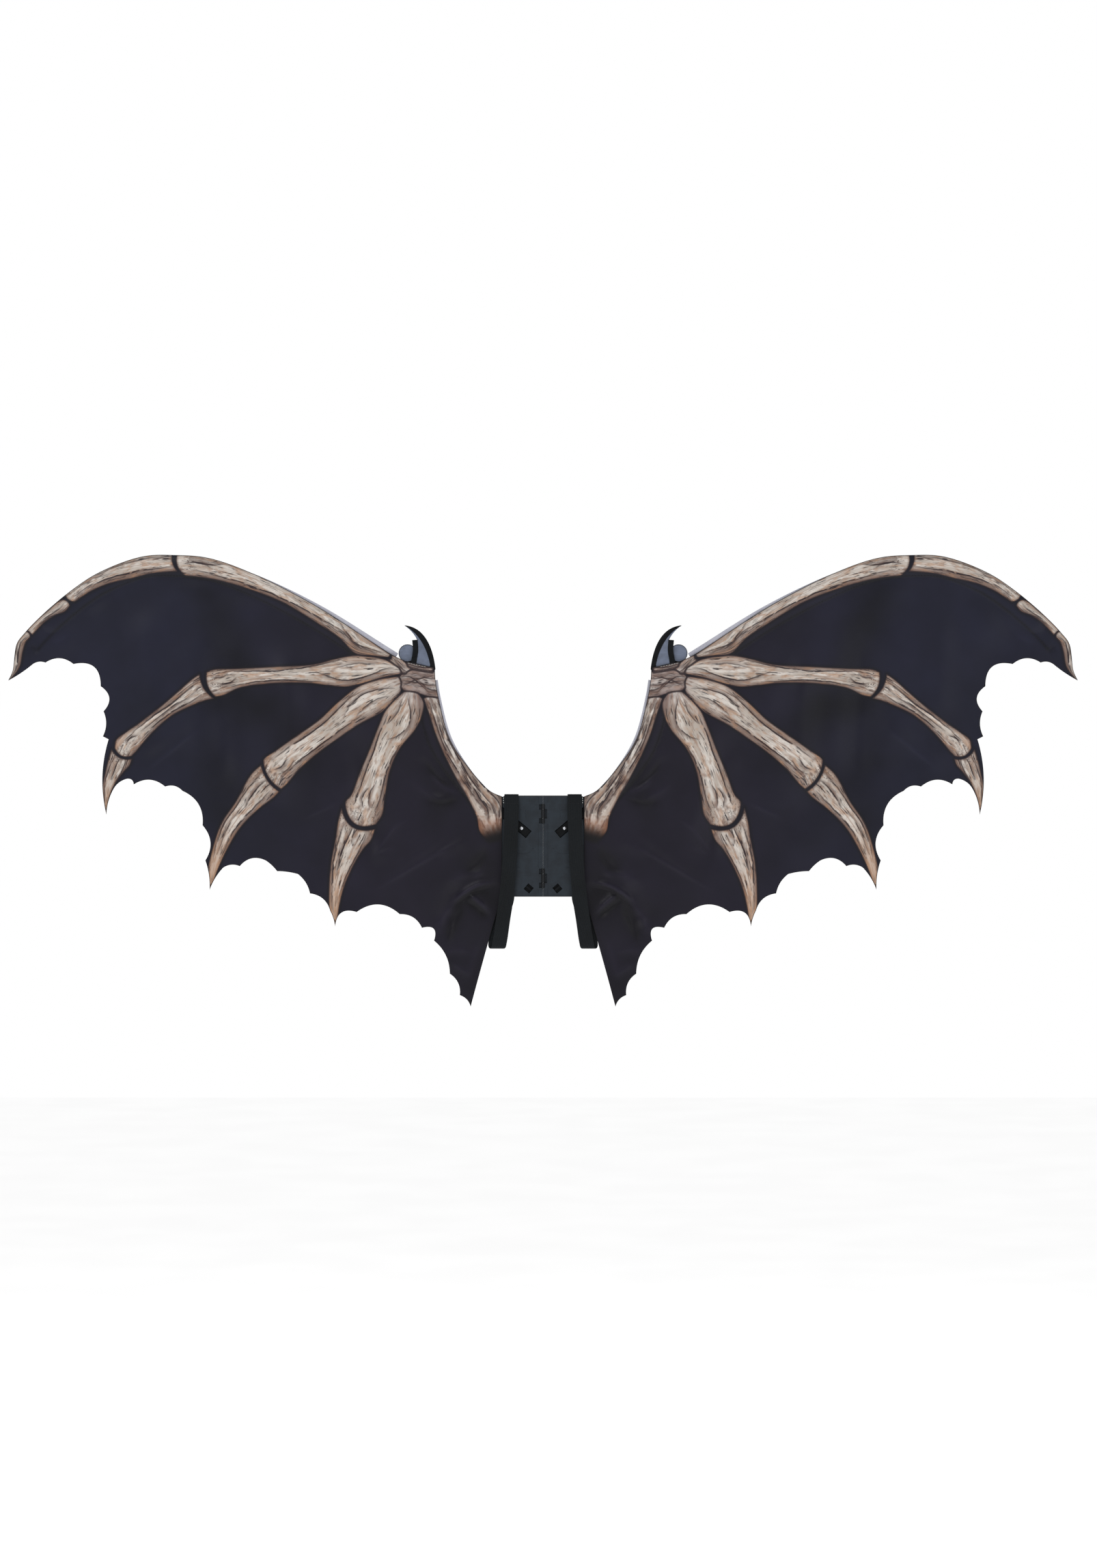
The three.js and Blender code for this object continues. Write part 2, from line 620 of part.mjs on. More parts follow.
function plate(outerKnuckles) {
  const width = PLATE.halfWidth - PLATE.seam;
  const panel = slab(rectangle(width, PLATE.height, PLATE.corner), 0, PLATE.depth);
  panel.translate(PLATE.seam + width / 2, 0, 0);
  const inboard = slab(rectangle(PLATE.corner * 2, PLATE.height), 0, PLATE.depth);
  inboard.translate(PLATE.seam + PLATE.corner, 0, 0);
  const flangeTall = FLANGE.high - FLANGE.low;
  const flange = slab(rectangle(FLANGE.reach * 2, flangeTall), FLANGE.front, PLATE.depth);
  flange.translate(PLATE.halfWidth, 0, (FLANGE.high + FLANGE.low) / 2);

  const channel = slab(
    rectangle(FOOT_CHANNEL.length, ARM.width + GAP * 2),
    -PAST,
    FOOT_CHANNEL.floor,
  );
  channel.translate(FOOT_CHANNEL.length / 2, 0, 0).rotateY(-radians(FOOT_CHANNEL.angle));
  channel.translate(FOOT_CHANNEL.u, 0, FOOT_CHANNEL.z);
  const pocket = turnedBox(CATCH_POCKET, CATCH_POCKET.side, CATCH_POCKET.side, -PAST, CATCH_POCKET.floor);
  const recess = (row, up) => {
    const box = slab(
      rectangle(STRAP.width + STRAP_RECESS.margin * 2, STRAP_RECESS.tall),
      STRAP_RECESS.floor,
      PLATE.depth + PAST,
    );
    return box.translate(row.u, 0, up * (PLATE.height / 2 + PAST - STRAP_RECESS.tall / 2));
  };
  const firstRow = STRAP_ROUTE[0];
  const lastRow = STRAP_ROUTE[STRAP_ROUTE.length - 1];
  const notches = hingeStretches(!outerKnuckles).map(([low, high]) => {
    const outline = rectangle(HINGE.notch * 2, high - low + GAP * 2);
    return slab(outline, -PAST, HINGE.radius + HINGE.clearance).translate(0, 0, (low + high) / 2);
  });
  const knuckles = hingeStretches(outerKnuckles).map(([low, high]) =>
    rod(HINGE.radius, low + GAP / 2, high - GAP / 2),
  );
  const bores = [HINGE.middle, -HINGE.middle].map((z) =>
    rod(HINGE.bore, z - HINGE.length / 2 - PAST, z + HINGE.length / 2 + PAST),
  );
  const blank = cut(
    join(panel, inboard, flange),
    channel,
    pocket,
    recess(firstRow, 1),
    recess(lastRow, -1),
    ...notches,
  );
  const whole = knuckles.map(solid).reduce((all, next) => all.add(next), blank);
  return geometryOf(cut(whole, ...bores));
}

function hingePin(z) {
  const half = HINGE.length / 2 - GAP;
  return rod(HINGE.pin, z - half, z + half);
}

function catchBlock() {
  const side = CATCH_POCKET.side - GAP * 2;
  const back = CATCH_POCKET.floor - GAP;
  return geometryOf(
    join(
      turnedBox(CATCH_POCKET, side, side, back - CATCH.base, back),
      turnedBox(CATCH_POCKET, side, CATCH.barWidth, CATCH.barFront, back),
    ),
  );
}

// A band of even thickness along the route, its width across the body.
function strap() {
  const route = STRAP_ROUTE.map((row) => new THREE.Vector3(row.u, row.y, row.z));
  const across = new THREE.Vector3(STRAP.width / 2, 0, 0);
  const positions = [];
  const triangles = [];
  route.forEach((at, i) => {
    const into = at.clone().sub(route[Math.max(i - 1, 0)]).setX(0).normalize();
    const out = route[Math.min(i + 1, route.length - 1)].clone().sub(at).setX(0).normalize();
    const along = into.clone().add(out).normalize();
    const mitre = i > 0 && i + 1 < route.length ? Math.sqrt((1 + into.dot(out)) / 2) : 1;
    const outward = new THREE.Vector3(0, along.z, -along.y).multiplyScalar(STRAP.wall / 2 / mitre);
    for (const [s, n] of [[-1, -1], [1, -1], [1, 1], [-1, 1]]) {
      const corner = at.clone().addScaledVector(across, s).addScaledVector(outward, n);
      positions.push(corner.x, corner.y, corner.z);
    }
    if (i === 0) return;
    for (let k = 0; k < 4; k++) {
      const [a, b] = [(i - 1) * 4 + k, (i - 1) * 4 + ((k + 1) % 4)];
      triangles.push(a, b, b + 4, a, b + 4, a + 4);
    }
  });
  const last = (route.length - 1) * 4;
  triangles.push(0, 2, 1, 0, 3, 2, last, last + 1, last + 2, last, last + 2, last + 3);
  return geometryFrom(positions, triangles);
}

// Assembly
const wings = new THREE.Group();

function addPiece(group, name, geometry, look) {
  geometry.computeVertexNormals();
  const mesh = new THREE.Mesh(geometry, new THREE.MeshStandardMaterial(look));
  mesh.name = name;
  group.add(mesh);
}

const SIDE_PIECES = [
  { name: "wing_cloth", geometry: wingCloth(), look: INK },
  { name: "casing_outer", geometry: casing(TOP_EDGE.slice(1, -3)), look: PALE_CLOTH },
  { name: "casing_inner", geometry: casing(INNER_EDGE.slice(1, -1)), look: PALE_CLOTH },
  { name: "claw_arm", geometry: clawArm(), look: BLACK_PLASTIC },
  { name: "wing_arm", geometry: wingArm(), look: BLACK_PLASTIC },
  { name: "wrist_pin", geometry: wristPin(), look: STEEL },
  { name: "arm_rivet", geometry: armRivet(), look: STEEL },
  { name: "catch", geometry: catchBlock(), look: BLACK_PLASTIC },
  { name: "strap", geometry: strap(), look: ELASTIC },
];

for (const side of ["left", "right"]) {
  const half = new THREE.Group();
  const placed = (geometry) => (side === "left" ? mirrored(geometry) : geometry);
  for (const { name, geometry, look } of SIDE_PIECES) {
    addPiece(half, `${name}_${side}`, placed(geometry), look);
  }
  addPiece(half, `plate_${side}`, placed(plate(side === "right")), SLATE_PLASTIC);
  wings.add(half);
}
addPiece(wings, "hinge_pin_upper", hingePin(HINGE.middle), STEEL);
addPiece(wings, "hinge_pin_lower", hingePin(-HINGE.middle), STEEL);

export default wings;
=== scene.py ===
"""Costume bat wings with a printed skeleton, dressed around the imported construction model.

Sizes are millimetres on the right half: u runs outboard from the hinge line, z up from the middle of the
back plate, and y is the depth, with the strap side at the front (-Y). The left half is the mirror image.
"""

from __future__ import annotations

import logging
import math
from dataclasses import dataclass, field
from enum import Enum
from functools import cached_property, partial, reduce
from typing import NamedTuple, Sequence, TypeVar, Union

import bpy
import numpy as np
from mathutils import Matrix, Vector
from mathutils.geometry import delaunay_2d_cdt

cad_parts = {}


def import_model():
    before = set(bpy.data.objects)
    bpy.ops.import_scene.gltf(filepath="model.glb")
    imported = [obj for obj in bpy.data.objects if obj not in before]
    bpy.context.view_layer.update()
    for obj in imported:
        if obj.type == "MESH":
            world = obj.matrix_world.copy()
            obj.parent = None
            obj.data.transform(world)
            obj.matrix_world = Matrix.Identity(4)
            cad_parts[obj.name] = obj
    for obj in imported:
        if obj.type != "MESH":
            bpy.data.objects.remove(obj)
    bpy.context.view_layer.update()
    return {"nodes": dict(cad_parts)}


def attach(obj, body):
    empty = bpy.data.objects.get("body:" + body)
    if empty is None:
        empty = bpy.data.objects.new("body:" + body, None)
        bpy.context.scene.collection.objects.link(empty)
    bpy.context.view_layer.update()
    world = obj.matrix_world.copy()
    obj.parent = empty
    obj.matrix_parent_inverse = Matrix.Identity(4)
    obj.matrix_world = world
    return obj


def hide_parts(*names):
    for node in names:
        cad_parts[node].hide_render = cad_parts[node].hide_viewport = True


LOG = logging.getLogger("skeleton_wings")
MM = 0.001
CURVE_SAMPLES = 32
LEAST_SPAN = 1e-4
WRINKLE_STEP = 6.0

Array = np.ndarray
Material = bpy.types.Material
Piece = bpy.types.Object
Point = tuple[float, float]
Colour = tuple[float, ...]
Face = tuple[int, ...]
Row = TypeVar("Row", bound=tuple)


class Side(Enum):
    """The two halves, as seen from the strap side."""

    LEFT = "left"
    RIGHT = "right"

    @property
    def sign(self) -> float:
        """-1 on the left half and 1 on the right."""
        return 1.0 if self is Side.RIGHT else -1.0

    @property
    def body(self) -> str:
        """Name of the body that this half moves with."""
        return f"{self.value}_wing"

    def named(self, name: str) -> str:
        """Name of this half's copy of a piece."""
        return f"{name}_{self.value}"


class EdgeRow(NamedTuple):
    """A point of the leading edge, and how far the pale casing shows past the cloth there."""

    u: float
    lip: float
    z: float


class HemRow(NamedTuple):
    """A point of the trailing edge, and how deep the scallop after it cuts into the cloth."""

    u: float
    z: float
    bow: float


class Band(NamedTuple):
    """A straight fold, or a lighter or darker streak of painted light and shade: its two ends, what it adds
    along its middle and its half width.
    """

    from_u: float
    from_z: float
    to_u: float
    to_z: float
    gain: float
    width: float

    def line(self) -> Array:
        """The two ends of the band."""
        return np.reshape(self[:4], (2, 2))


class Wrinkle(NamedTuple):
    """A thin bent crease: three places that it runs through, its height and its half width."""

    from_u: float
    from_z: float
    middle_u: float
    middle_z: float
    to_u: float
    to_z: float
    rise: float
    width: float

    def line(self) -> Array:
        """The crease as a smooth line."""
        return curve_through(np.reshape(self[:6], (3, 2)), WRINKLE_STEP)


class Level(Enum):
    """The depths that a ring round the claw is measured from."""

    LAP = "where the claw meets the other arm"
    WEB = "the flat web"
    TOP = "the top of the rim"


class RingPoint(NamedTuple):
    """A point round the claw: on its rim or its web, the share of the way across, and its depth."""

    on_rim: bool
    share: float
    level: Level
    behind: float


@dataclass(frozen=True)
class Bone:
    """One printed bone: its edges, its drawn lines, how its ends bow out, and how it is pitted and shaded.

    A station is u and z of the near edge and of the far edge at one place along the bone. A crease is a
    drawn line: three places, as shares of the bone's length and half width, and the line's weight.
    """

    name: str
    stations: tuple[tuple[float, ...], ...]
    creases: tuple[tuple[float, ...], ...]
    start_bow: float = 3.0
    end_bow: float = 3.0
    start_pits: float = 0.4
    end_pits: float = 1.0
    fade_from: float = 2.0
    soot: float = 0.0
    warmth: float = 0.0


def rows(kind: type[Row], *values: tuple) -> tuple[Row, ...]:
    """Rows of values with their columns named."""
    return tuple(kind(*value) for value in values)


# Outline of the wing, in the same rows as the construction model

INNER_EDGE = rows(
    EdgeRow,
    (57, 0, 69), (74, 0, 77), (99, 1, 105), (127, 3, 150), (143, 3, 208), (147, 3, 232), (149, 2, 249),
)
TOP_EDGE = rows(
    EdgeRow,
    (192, 0, 258), (204, 6, 270), (312, 4, 337), (404, 1, 381), (467, 0, 402), (513, 0, 406), (559, 0, 404),
    (619, 0, 382), (655, 0, 359), (697, 0, 324), (724, 0, 296), (734, 0, 282), (740, 0, 244), (746, 0, 231),
)
SCALLOPS = rows(
    HemRow,
    (101, -224, 3), (116, -208, 5), (130, -178, 6), (152, -132, 11), (169, -114, 6), (200, -95, 12),
    (260, -92, 11), (290, -112, 1), (297, -90, 6), (325, -66, 3), (342, -39, 1), (371, -35, 1),
    (387, -20, 7), (423, -28, 3), (446, -30, 2), (465, -61, 2), (471, -20, 9), (475, 29, 10), (503, 77, 4),
    (527, 83, 8), (571, 86, 3), (580, 94, 3), (600, 78, 2), (609, 44, -7), (606, 149, 0), (614, 153, 4),
    (613, 188, 10), (617, 223, 15), (655, 254, 7), (694, 256, 3), (714, 252, -1), (746, 231, 0),
)
LOW_CORNER = (57.0, -66.0)

# Folds of the cloth, lower than in the construction model, the fine creases on them, and streaks of painted
# light and shade along the folds

FOLDS = rows(
    Band,
    (72, -50, 127, -77, 2.5, 12), (105, -67, 82, -90, 2, 10), (118, -48, 141, -118, -5, 18),
    (176, 128, 131, 84, -3, 13), (156, 58, 112, 76, 2.5, 13), (150, -16, 102, 12, 1.4, 12),
    (571, 104, 471, 173, 1.2, 14), (221, -45, 120, 28, 1.4, 13), (452, 330, 436, 60, -8, 34),
    (362, 300, 352, 20, 8, 36), (560, 340, 548, 150, 4, 30), (262, 180, 232, -40, -8, 30),
)
WRINKLES = rows(
    Wrinkle,
    (60, -49, 93, -55, 136, -84, 3.2, 4.5), (62, -57, 96, -64, 132, -92, -3.0, 5),
    (110, -64, 92, -75, 70, -96, 2.6, 4), (113, -73, 94, -85, 74, -104, -2.4, 5),
    (70, -40, 104, -38, 138, -52, 1.4, 9), (114, -72, 136, -94, 150, -128, 1.6, 7),
    (106, -78, 124, -104, 134, -142, -3.0, 10), (100, 14, 145, -9, 250, -70, 0.9, 3),
    (182, 42, 207, 26, 240, -18, 0.9, 3), (338, 37, 310, 50, 281, 64, 0.7, 3),
    (236, -14, 218, -6, 200, 2, 0.6, 3), (168, 127, 150, 98, 122, 78, -1.8, 5),
    (160, 106, 140, 84, 112, 72, 1.8, 5), (170, 64, 140, 60, 108, 68, -1.4, 7),
    (186, 92, 160, 74, 128, 62, 0.8, 5), (78, 4, 90, -22, 116, -42, -2.0, 9),
    (78, -12, 86, -34, 104, -50, 1.0, 6), (144, -150, 122, -144, 96, -150, 0.9, 8),
    (132, -158, 116, -170, 98, -182, 1.3, 7), (84, -118, 96, -150, 108, -196, 1.0, 8),
    (560, 100, 515, 136, 470, 172, 0.8, 3), (600, 142, 560, 174, 520, 206, 0.6, 3),
    (690, 282, 672, 290, 655, 300, 0.8, 6), (702, 268, 708, 274, 716, 282, -1.0, 6),
)
# Painted light and painted shade: streaks that lighten or darken the cloth along its folds
LIGHT_AND_SHADE_BANDS = rows(
    Band,
    (470, 350, 425, 250, -0.42, 28), (405, 330, 380, 240, 0.2, 22), (500, 330, 520, 230, 0.16, 34),
    (452, 205, 396, 196, -0.5, 26), (330, 205, 312, 190, 0.24, 22), (365, 180, 330, 120, -0.3, 30),
    (560, 320, 640, 270, 0.12, 40), (275, 60, 262, -60, 0.12, 32), (120, 110, 150, 40, -0.3, 20),
    (90, -30, 70, -70, -0.35, 20), (450, 110, 440, 40, -0.3, 28), (150, -92, 112, -72, -0.2, 16),
    (124, -160, 104, -200, -0.25, 18),
)

# Middle lines in the same rows as the construction model: u, width and z of the arms, u, y and z of the strap

CLAW_ARM = (
    (20.5, 11.8, 16.5), (57, 11.8, 47), (90, 12, 75), (111, 12, 95), (144, 12, 143), (162, 12, 204),
    (169, 13, 232), (173, 14, 250),
)
WING_ARM = (
    (166, 13, 241), (182, 13, 246), (214, 13, 253), (322, 12, 321), (410, 11, 366), (467, 11, 387),
    (513, 10, 391), (556, 10, 389), (611, 9, 368), (645, 8, 346), (686, 7, 313),
)
STRAP_ROUTE = (
    (44, 6.7, 58.5), (44, 6.7, 69.8), (44, 6.3, 71.3), (44, 5.2, 71.7), (44, 0.2, 71.7), (44, -0.9, 71.3),
    (44, -1.5, 70), (44, -4, 60), (44, -6, 49), (44.4, -7.1, 30), (45.4, -7.4, 5), (47, -7.2, -25),
    (49, -6.6, -50), (52, -5.6, -78), (56, -4.4, -105), (59.4, -3.2, -128), (61, -2.6, -136.5),
    (62, -1.2, -140.8), (64, 1.6, -142.6), (66, 4.4, -140.8), (66.6, 5.8, -136.5), (63, 6.8, -118),
    (57, 7, -95), (51, 6.7, -78), (49, 6.7, -59),
)

# Points round the claw, from its hollow edge over the web and the rim to its back

CLAW_RING = rows(
    RingPoint,
    (False, 0.0, Level.LAP, 0.0), (False, 0.0, Level.WEB, 0.5), (False, 0.03, Level.WEB, 0.12),
    (False, 0.08, Level.WEB, 0.0), (False, 0.94, Level.WEB, 0.0), (False, 1.0, Level.WEB, -0.1),
    (True, 0.05, Level.TOP, 0.35), (True, 0.25, Level.TOP, 0.05), (True, 0.5, Level.TOP, 0.0),
    (True, 0.75, Level.TOP, 0.25), (True, 0.93, Level.TOP, 0.9), (True, 1.0, Level.TOP, 1.8),
    (True, 1.0, Level.LAP, 0.0),
)

# Printed bones, each from its wrist end outwards

BONES = (
    Bone("long_arm", (
        (218, 263, 213, 268), (238, 265, 231, 281), (261, 268, 249, 295), (284, 290, 268, 311),
        (317, 312, 300, 333), (362, 339, 346, 359), (407, 357, 397, 384), (451, 370, 445, 401),
        (479, 375, 481, 410), (499, 377, 509, 412),
    ), (
        (0.14, -0.05, 0.5, -0.55, 0.97, -0.45, 1.0), (0.02, 0.35, 0.13, -0.2, 0.27, 0.4, 0.9),
        (0.05, -0.5, 0.16, -0.35, 0.3, -0.55, 0.7), (0.82, 0.5, 0.9, 0.1, 0.97, 0.3, 0.9),
        (0.86, -0.2, 0.92, 0.15, 0.99, -0.1, 0.7), (0.3, 0.55, 0.6, 0.6, 0.85, 0.5, 0.35),
    ), start_bow=2, end_bow=7),
    Bone("outer_arm", (
        (509, 383, 516, 412), (545, 380, 553, 410), (574, 373, 585, 405), (604, 366, 616, 391),
        (630, 355, 643, 376), (653, 340, 668, 352),
    ), (
        (0.02, -0.5, 0.5, -0.55, 0.97, -0.25, 1.0), (0.1, 0.45, 0.4, 0.3, 0.8, 0.45, 0.6),
        (0.03, 0.2, 0.1, 0.35, 0.2, 0.15, 0.7), (0.55, -0.1, 0.75, 0.1, 0.95, 0.3, 0.5),
    ), start_bow=-4, end_bow=3),
    Bone("drop", (
        (659, 335, 671, 344), (666, 327, 680, 339), (681, 321, 690, 330), (698, 309, 705, 317),
        (712, 294, 721, 301),
    ), (
        (0.05, 0.1, 0.4, -0.2, 0.95, 0.0, 0.8), (0.1, -0.5, 0.5, -0.6, 0.9, -0.5, 0.6),
    ), end_bow=0, end_pits=0),
    Bone("tip", (
        (715, 291, 722, 301), (721, 284, 738, 289), (725, 272, 742, 272), (730, 249, 746, 246),
        (745, 229, 750, 231),
    ), (
        (0.02, -0.3, 0.4, -0.3, 0.95, -0.2, 1.0), (0.1, 0.4, 0.5, 0.3, 0.95, 0.2, 0.8),
        (0.05, 0.0, 0.3, 0.1, 0.6, 0.05, 0.5),
    ), end_bow=0, end_pits=0),
    Bone("first_finger", (
        (196, 240, 198, 252), (218, 236, 222, 261), (249, 227, 243, 265), (275, 222, 266, 266),
        (300, 224, 292, 261), (327, 227, 319, 254), (384, 226, 384, 250), (425, 220, 428, 248),
        (447, 210, 460, 247), (458, 208, 470, 243),
    ), (
        (0.28, 0.8, 0.55, 0.5, 0.94, 0.62, 0.9), (0.04, 0.15, 0.2, -0.55, 0.45, 0.15, 1.0),
        (0.4, -0.55, 0.66, -0.62, 0.95, -0.35, 0.9), (0.1, 0.4, 0.22, 0.5, 0.36, 0.2, 0.6),
        (0.86, 0.1, 0.92, -0.2, 0.97, 0.05, 0.9), (0.9, 0.5, 0.95, 0.3, 0.99, 0.5, 0.7),
    ), start_bow=1, end_bow=5, start_pits=0),
    Bone("first_knuckle", (
        (459, 206, 479, 241), (474, 202, 490, 233), (489, 196, 507, 218), (517, 182, 531, 197),
        (542, 161, 562, 173), (559, 142, 581, 160), (568, 131, 596, 148), (574, 125, 598, 137),
    ), (
        (0.04, 0.5, 0.4, 0.4, 0.82, 0.5, 1.0), (0.08, -0.45, 0.45, -0.5, 0.82, -0.35, 1.0),
        (0.1, 0.0, 0.4, -0.05, 0.75, 0.1, 0.8), (0.78, -0.2, 0.86, 0.2, 0.93, 0.0, 0.9),
        (0.02, -0.2, 0.06, 0.1, 0.12, -0.05, 0.8),
    ), start_bow=-5, end_bow=6, start_pits=0.8),
    Bone("first_claw", (
        (573, 122, 602, 136), (577, 112, 607, 119), (585, 103, 611, 102), (597, 86, 615, 79),
        (605, 66, 613, 64), (608, 42, 611, 43),
    ), (
        (0.08, 0.55, 0.4, 0.6, 0.8, 0.3, 0.8), (0.05, -0.4, 0.25, -0.55, 0.5, -0.5, 0.8),
        (0.06, 0.0, 0.2, 0.1, 0.45, 0.0, 0.9),
    ), start_bow=-6, end_bow=0, start_pits=0.9, end_pits=0, fade_from=0.93, warmth=1.0),
    Bone("second_finger", (
        (200, 212, 201, 237), (214, 196, 230, 233), (226, 186, 256, 224), (259, 168, 284, 203),
        (288, 148, 313, 176), (313, 130, 345, 153), (338, 108, 372, 134), (356, 87, 390, 121),
        (365, 79, 390, 114),
    ), (
        (0.22, 0.8, 0.55, 0.55, 0.94, 0.6, 1.0), (0.03, -0.1, 0.2, 0.45, 0.42, -0.1, 0.9),
        (0.3, -0.6, 0.6, -0.55, 0.94, -0.5, 1.0), (0.08, -0.45, 0.2, -0.2, 0.35, -0.5, 0.7),
        (0.84, 0.2, 0.9, -0.05, 0.96, 0.15, 0.9), (0.82, -0.25, 0.9, -0.4, 0.97, -0.2, 0.7),
    ), start_bow=4, end_bow=5, start_pits=0.1),
    Bone("second_claw", (
        (367, 76, 393, 114), (376, 67, 408, 100), (398, 50, 429, 62), (423, 24, 449, 32),
        (443, -10, 462, -6), (454, -35, 468, -37), (464, -63, 466, -63),
    ), (
        (0.05, 0.5, 0.3, 0.62, 0.75, 0.55, 0.9), (0.06, -0.55, 0.3, -0.5, 0.7, -0.6, 0.9),
        (0.03, 0.05, 0.14, 0.15, 0.3, 0.0, 1.0), (0.3, 0.1, 0.5, 0.15, 0.72, 0.0, 0.5),
    ), start_bow=-5, end_bow=0, start_pits=1.0, end_pits=0, fade_from=0.93, warmth=1.0),
    Bone("third_finger", (
        (174, 214, 196, 214), (166, 200, 211, 201), (170, 178, 221, 188), (179, 161, 230, 167),
        (200, 135, 243, 134), (213, 106, 255, 106), (220, 70, 268, 72), (224, 44, 276, 62),
        (233, 30, 276, 54),
    ), (
        (0.2, 0.8, 0.5, 0.6, 0.88, 0.55, 1.0), (0.04, 0.15, 0.24, -0.5, 0.4, 0.15, 1.0),
        (0.35, -0.65, 0.62, -0.72, 0.94, -0.55, 0.9), (0.06, 0.5, 0.16, 0.35, 0.3, 0.6, 0.7),
        (0.78, 0.1, 0.86, 0.25, 0.94, 0.05, 1.0), (0.74, -0.2, 0.84, -0.05, 0.92, -0.25, 0.9),
    ), start_bow=4, end_bow=14, start_pits=0.1),
    Bone("third_claw", (
        (234, 24, 281, 55), (240, 8, 286, 36), (251, -5, 290, 10), (267, -33, 296, -22),
        (279, -63, 299, -62), (285, -91, 298, -91), (288, -113, 291, -113),
    ), (
        (0.08, 0.6, 0.4, 0.66, 0.85, 0.4, 0.9), (0.04, 0.0, 0.25, 0.25, 0.55, 0.1, 1.0),
        (0.1, -0.6, 0.4, -0.7, 0.75, -0.6, 0.8), (0.05, -0.3, 0.12, -0.05, 0.25, -0.2, 0.8),
    ), start_bow=-15, end_bow=0, start_pits=1.0, end_pits=0, fade_from=0.93, warmth=1.0),
    Bone("inner_arm", (
        (143, 205, 167, 206), (131, 179, 159, 183), (119, 148, 149, 153), (100, 119, 136, 123),
        (84, 95, 120, 92), (66, 78, 104, 64), (50, 66, 92, 38), (46, 45, 88, 20), (48, 22, 76, 6),
    ), (
        (0.02, 0.4, 0.35, 0.5, 0.8, 0.35, 1.0), (0.05, -0.15, 0.4, -0.05, 0.88, -0.12, 1.0),
        (0.3, -0.52, 0.6, -0.46, 0.92, -0.5, 1.0), (0.5, 0.14, 0.7, 0.2, 0.9, 0.36, 1.0),
        (0.1, 0.15, 0.25, 0.3, 0.45, 0.2, 0.8),
    ), start_bow=4, end_bow=5, end_pits=0.3, fade_from=0.82, soot=0.6),
    Bone("wrist_spur", (
        (217, 260, 212, 267), (208, 250, 198, 262), (197, 240, 187, 252), (188, 234, 180, 246),
    ), (
        (0.05, 0.2, 0.5, -0.2, 0.95, 0.1, 0.7), (0.1, -0.5, 0.5, -0.6, 0.9, -0.4, 0.6),
    ), end_pits=0.3, soot=0.5),
    Bone("wrist_cap", (
        (191, 249, 192, 258), (172, 243, 173, 254), (152, 240, 149, 251),
    ), (
        (0.02, 0.4, 0.5, 0.2, 0.98, 0.5, 1.0), (0.05, -0.5, 0.5, -0.4, 0.95, -0.5, 0.8),
    ), start_bow=1, soot=0.7),
    Bone("wrist_star", (
        (201, 221, 202, 236), (188, 214, 189, 246), (172, 212, 172, 246), (156, 207, 155, 244),
        (139, 206, 142, 243),
    ), (
        (0.02, -0.5, 0.35, 0.05, 0.8, 0.75, 0.9), (0.05, 0.75, 0.4, 0.05, 0.75, -0.7, 0.9),
        (0.02, 0.15, 0.4, -0.1, 0.98, 0.1, 0.8), (0.45, 0.1, 0.7, -0.35, 0.98, -0.4, 0.8),
        (0.3, 0.7, 0.5, 0.45, 0.95, 0.6, 0.7),
    ), start_pits=0.7, end_pits=1.0, soot=0.35),
)


# Plane geometry


def smooth_step(value: Array, low: float, high: float) -> Array:
    """Smooth rise from 0 at low to 1 at high, or a fall where low lies above high."""
    share = np.clip((value - low) / (high - low), 0.0, 1.0)
    return share * share * (3.0 - 2.0 * share)


def curve_through(rows: Sequence[Sequence[float]], step: float) -> Array:
    """Even points on a centripetal Catmull-Rom curve.

    Args:
        rows: Points of two or three numbers that the curve passes through.
        step: Distance between the points that come back, about.

    Returns:
        One row for each point, from the first row to the last.
    """
    knots = np.array(rows, float)
    ends = np.vstack([2 * knots[0] - knots[1], knots, 2 * knots[-1] - knots[-2]])
    share = np.linspace(0.0, 1.0, CURVE_SAMPLES, endpoint=False)[:, None]
    dense = []
    for before, start, end, after in zip(ends[:-3], ends[1:-2], ends[2:-1], ends[3:]):
        spans = [
            max(float(np.linalg.norm(b - a)) ** 0.5, LEAST_SPAN)
            for a, b in ((before, start), (start, end), (end, after))
        ]
        leave = (start - before) / spans[0] - (end - before) / (spans[0] + spans[1])
        leave = (leave + (end - start) / spans[1]) * spans[1]
        reach = (end - start) / spans[1] - (after - start) / (spans[1] + spans[2])
        reach = (reach + (after - end) / spans[2]) * spans[1]
        cubic = 2 * start - 2 * end + leave + reach
        square = -3 * start + 3 * end - 2 * leave - reach
        dense.append(((cubic * share + square) * share + leave) * share + start)
    dense.append(knots[-1:])
    return even_points(np.vstack(dense), step)


def even_points(line: Array, step: float) -> Array:
    """Points spaced evenly along a chain of points.

    Args:
        line: The chain, one row for each point.
        step: Distance between the new points, about.

    Returns:
        The new points, with both ends kept.
    """
    lengths = np.concatenate([[0.0], np.cumsum(np.linalg.norm(np.diff(line, axis=0), axis=1))])
    count = max(1, math.ceil(lengths[-1] / step))
    wanted = np.linspace(0.0, lengths[-1], count + 1)
    return np.column_stack([np.interp(wanted, lengths, column) for column in line.T])


def chain_length(line: Array) -> float:
    """Length of a chain of points."""
    return float(np.linalg.norm(np.diff(line, axis=0), axis=1).sum())


def bezier(*corners: Sequence[float], share: float) -> Array:
    """Finds a point on the curve that a row of corners controls.

    Args:
        corners: The corners, from the curve's start to its end.
        share: How far along the curve, from 0 to 1.

    Returns:
        The point.
    """
    order = len(corners) - 1
    weights = [math.comb(order, k) * (1 - share) ** (order - k) * share**k for k in range(order + 1)]
    return np.array(weights) @ np.array(corners)


def right_normals(line: Array) -> Array:
    """Unit vectors to the right of travel at each point of a plane chain."""
    along = np.gradient(line, axis=0)
    return np.column_stack([along[:, 1], -along[:, 0]]) / np.linalg.norm(along, axis=1, keepdims=True)


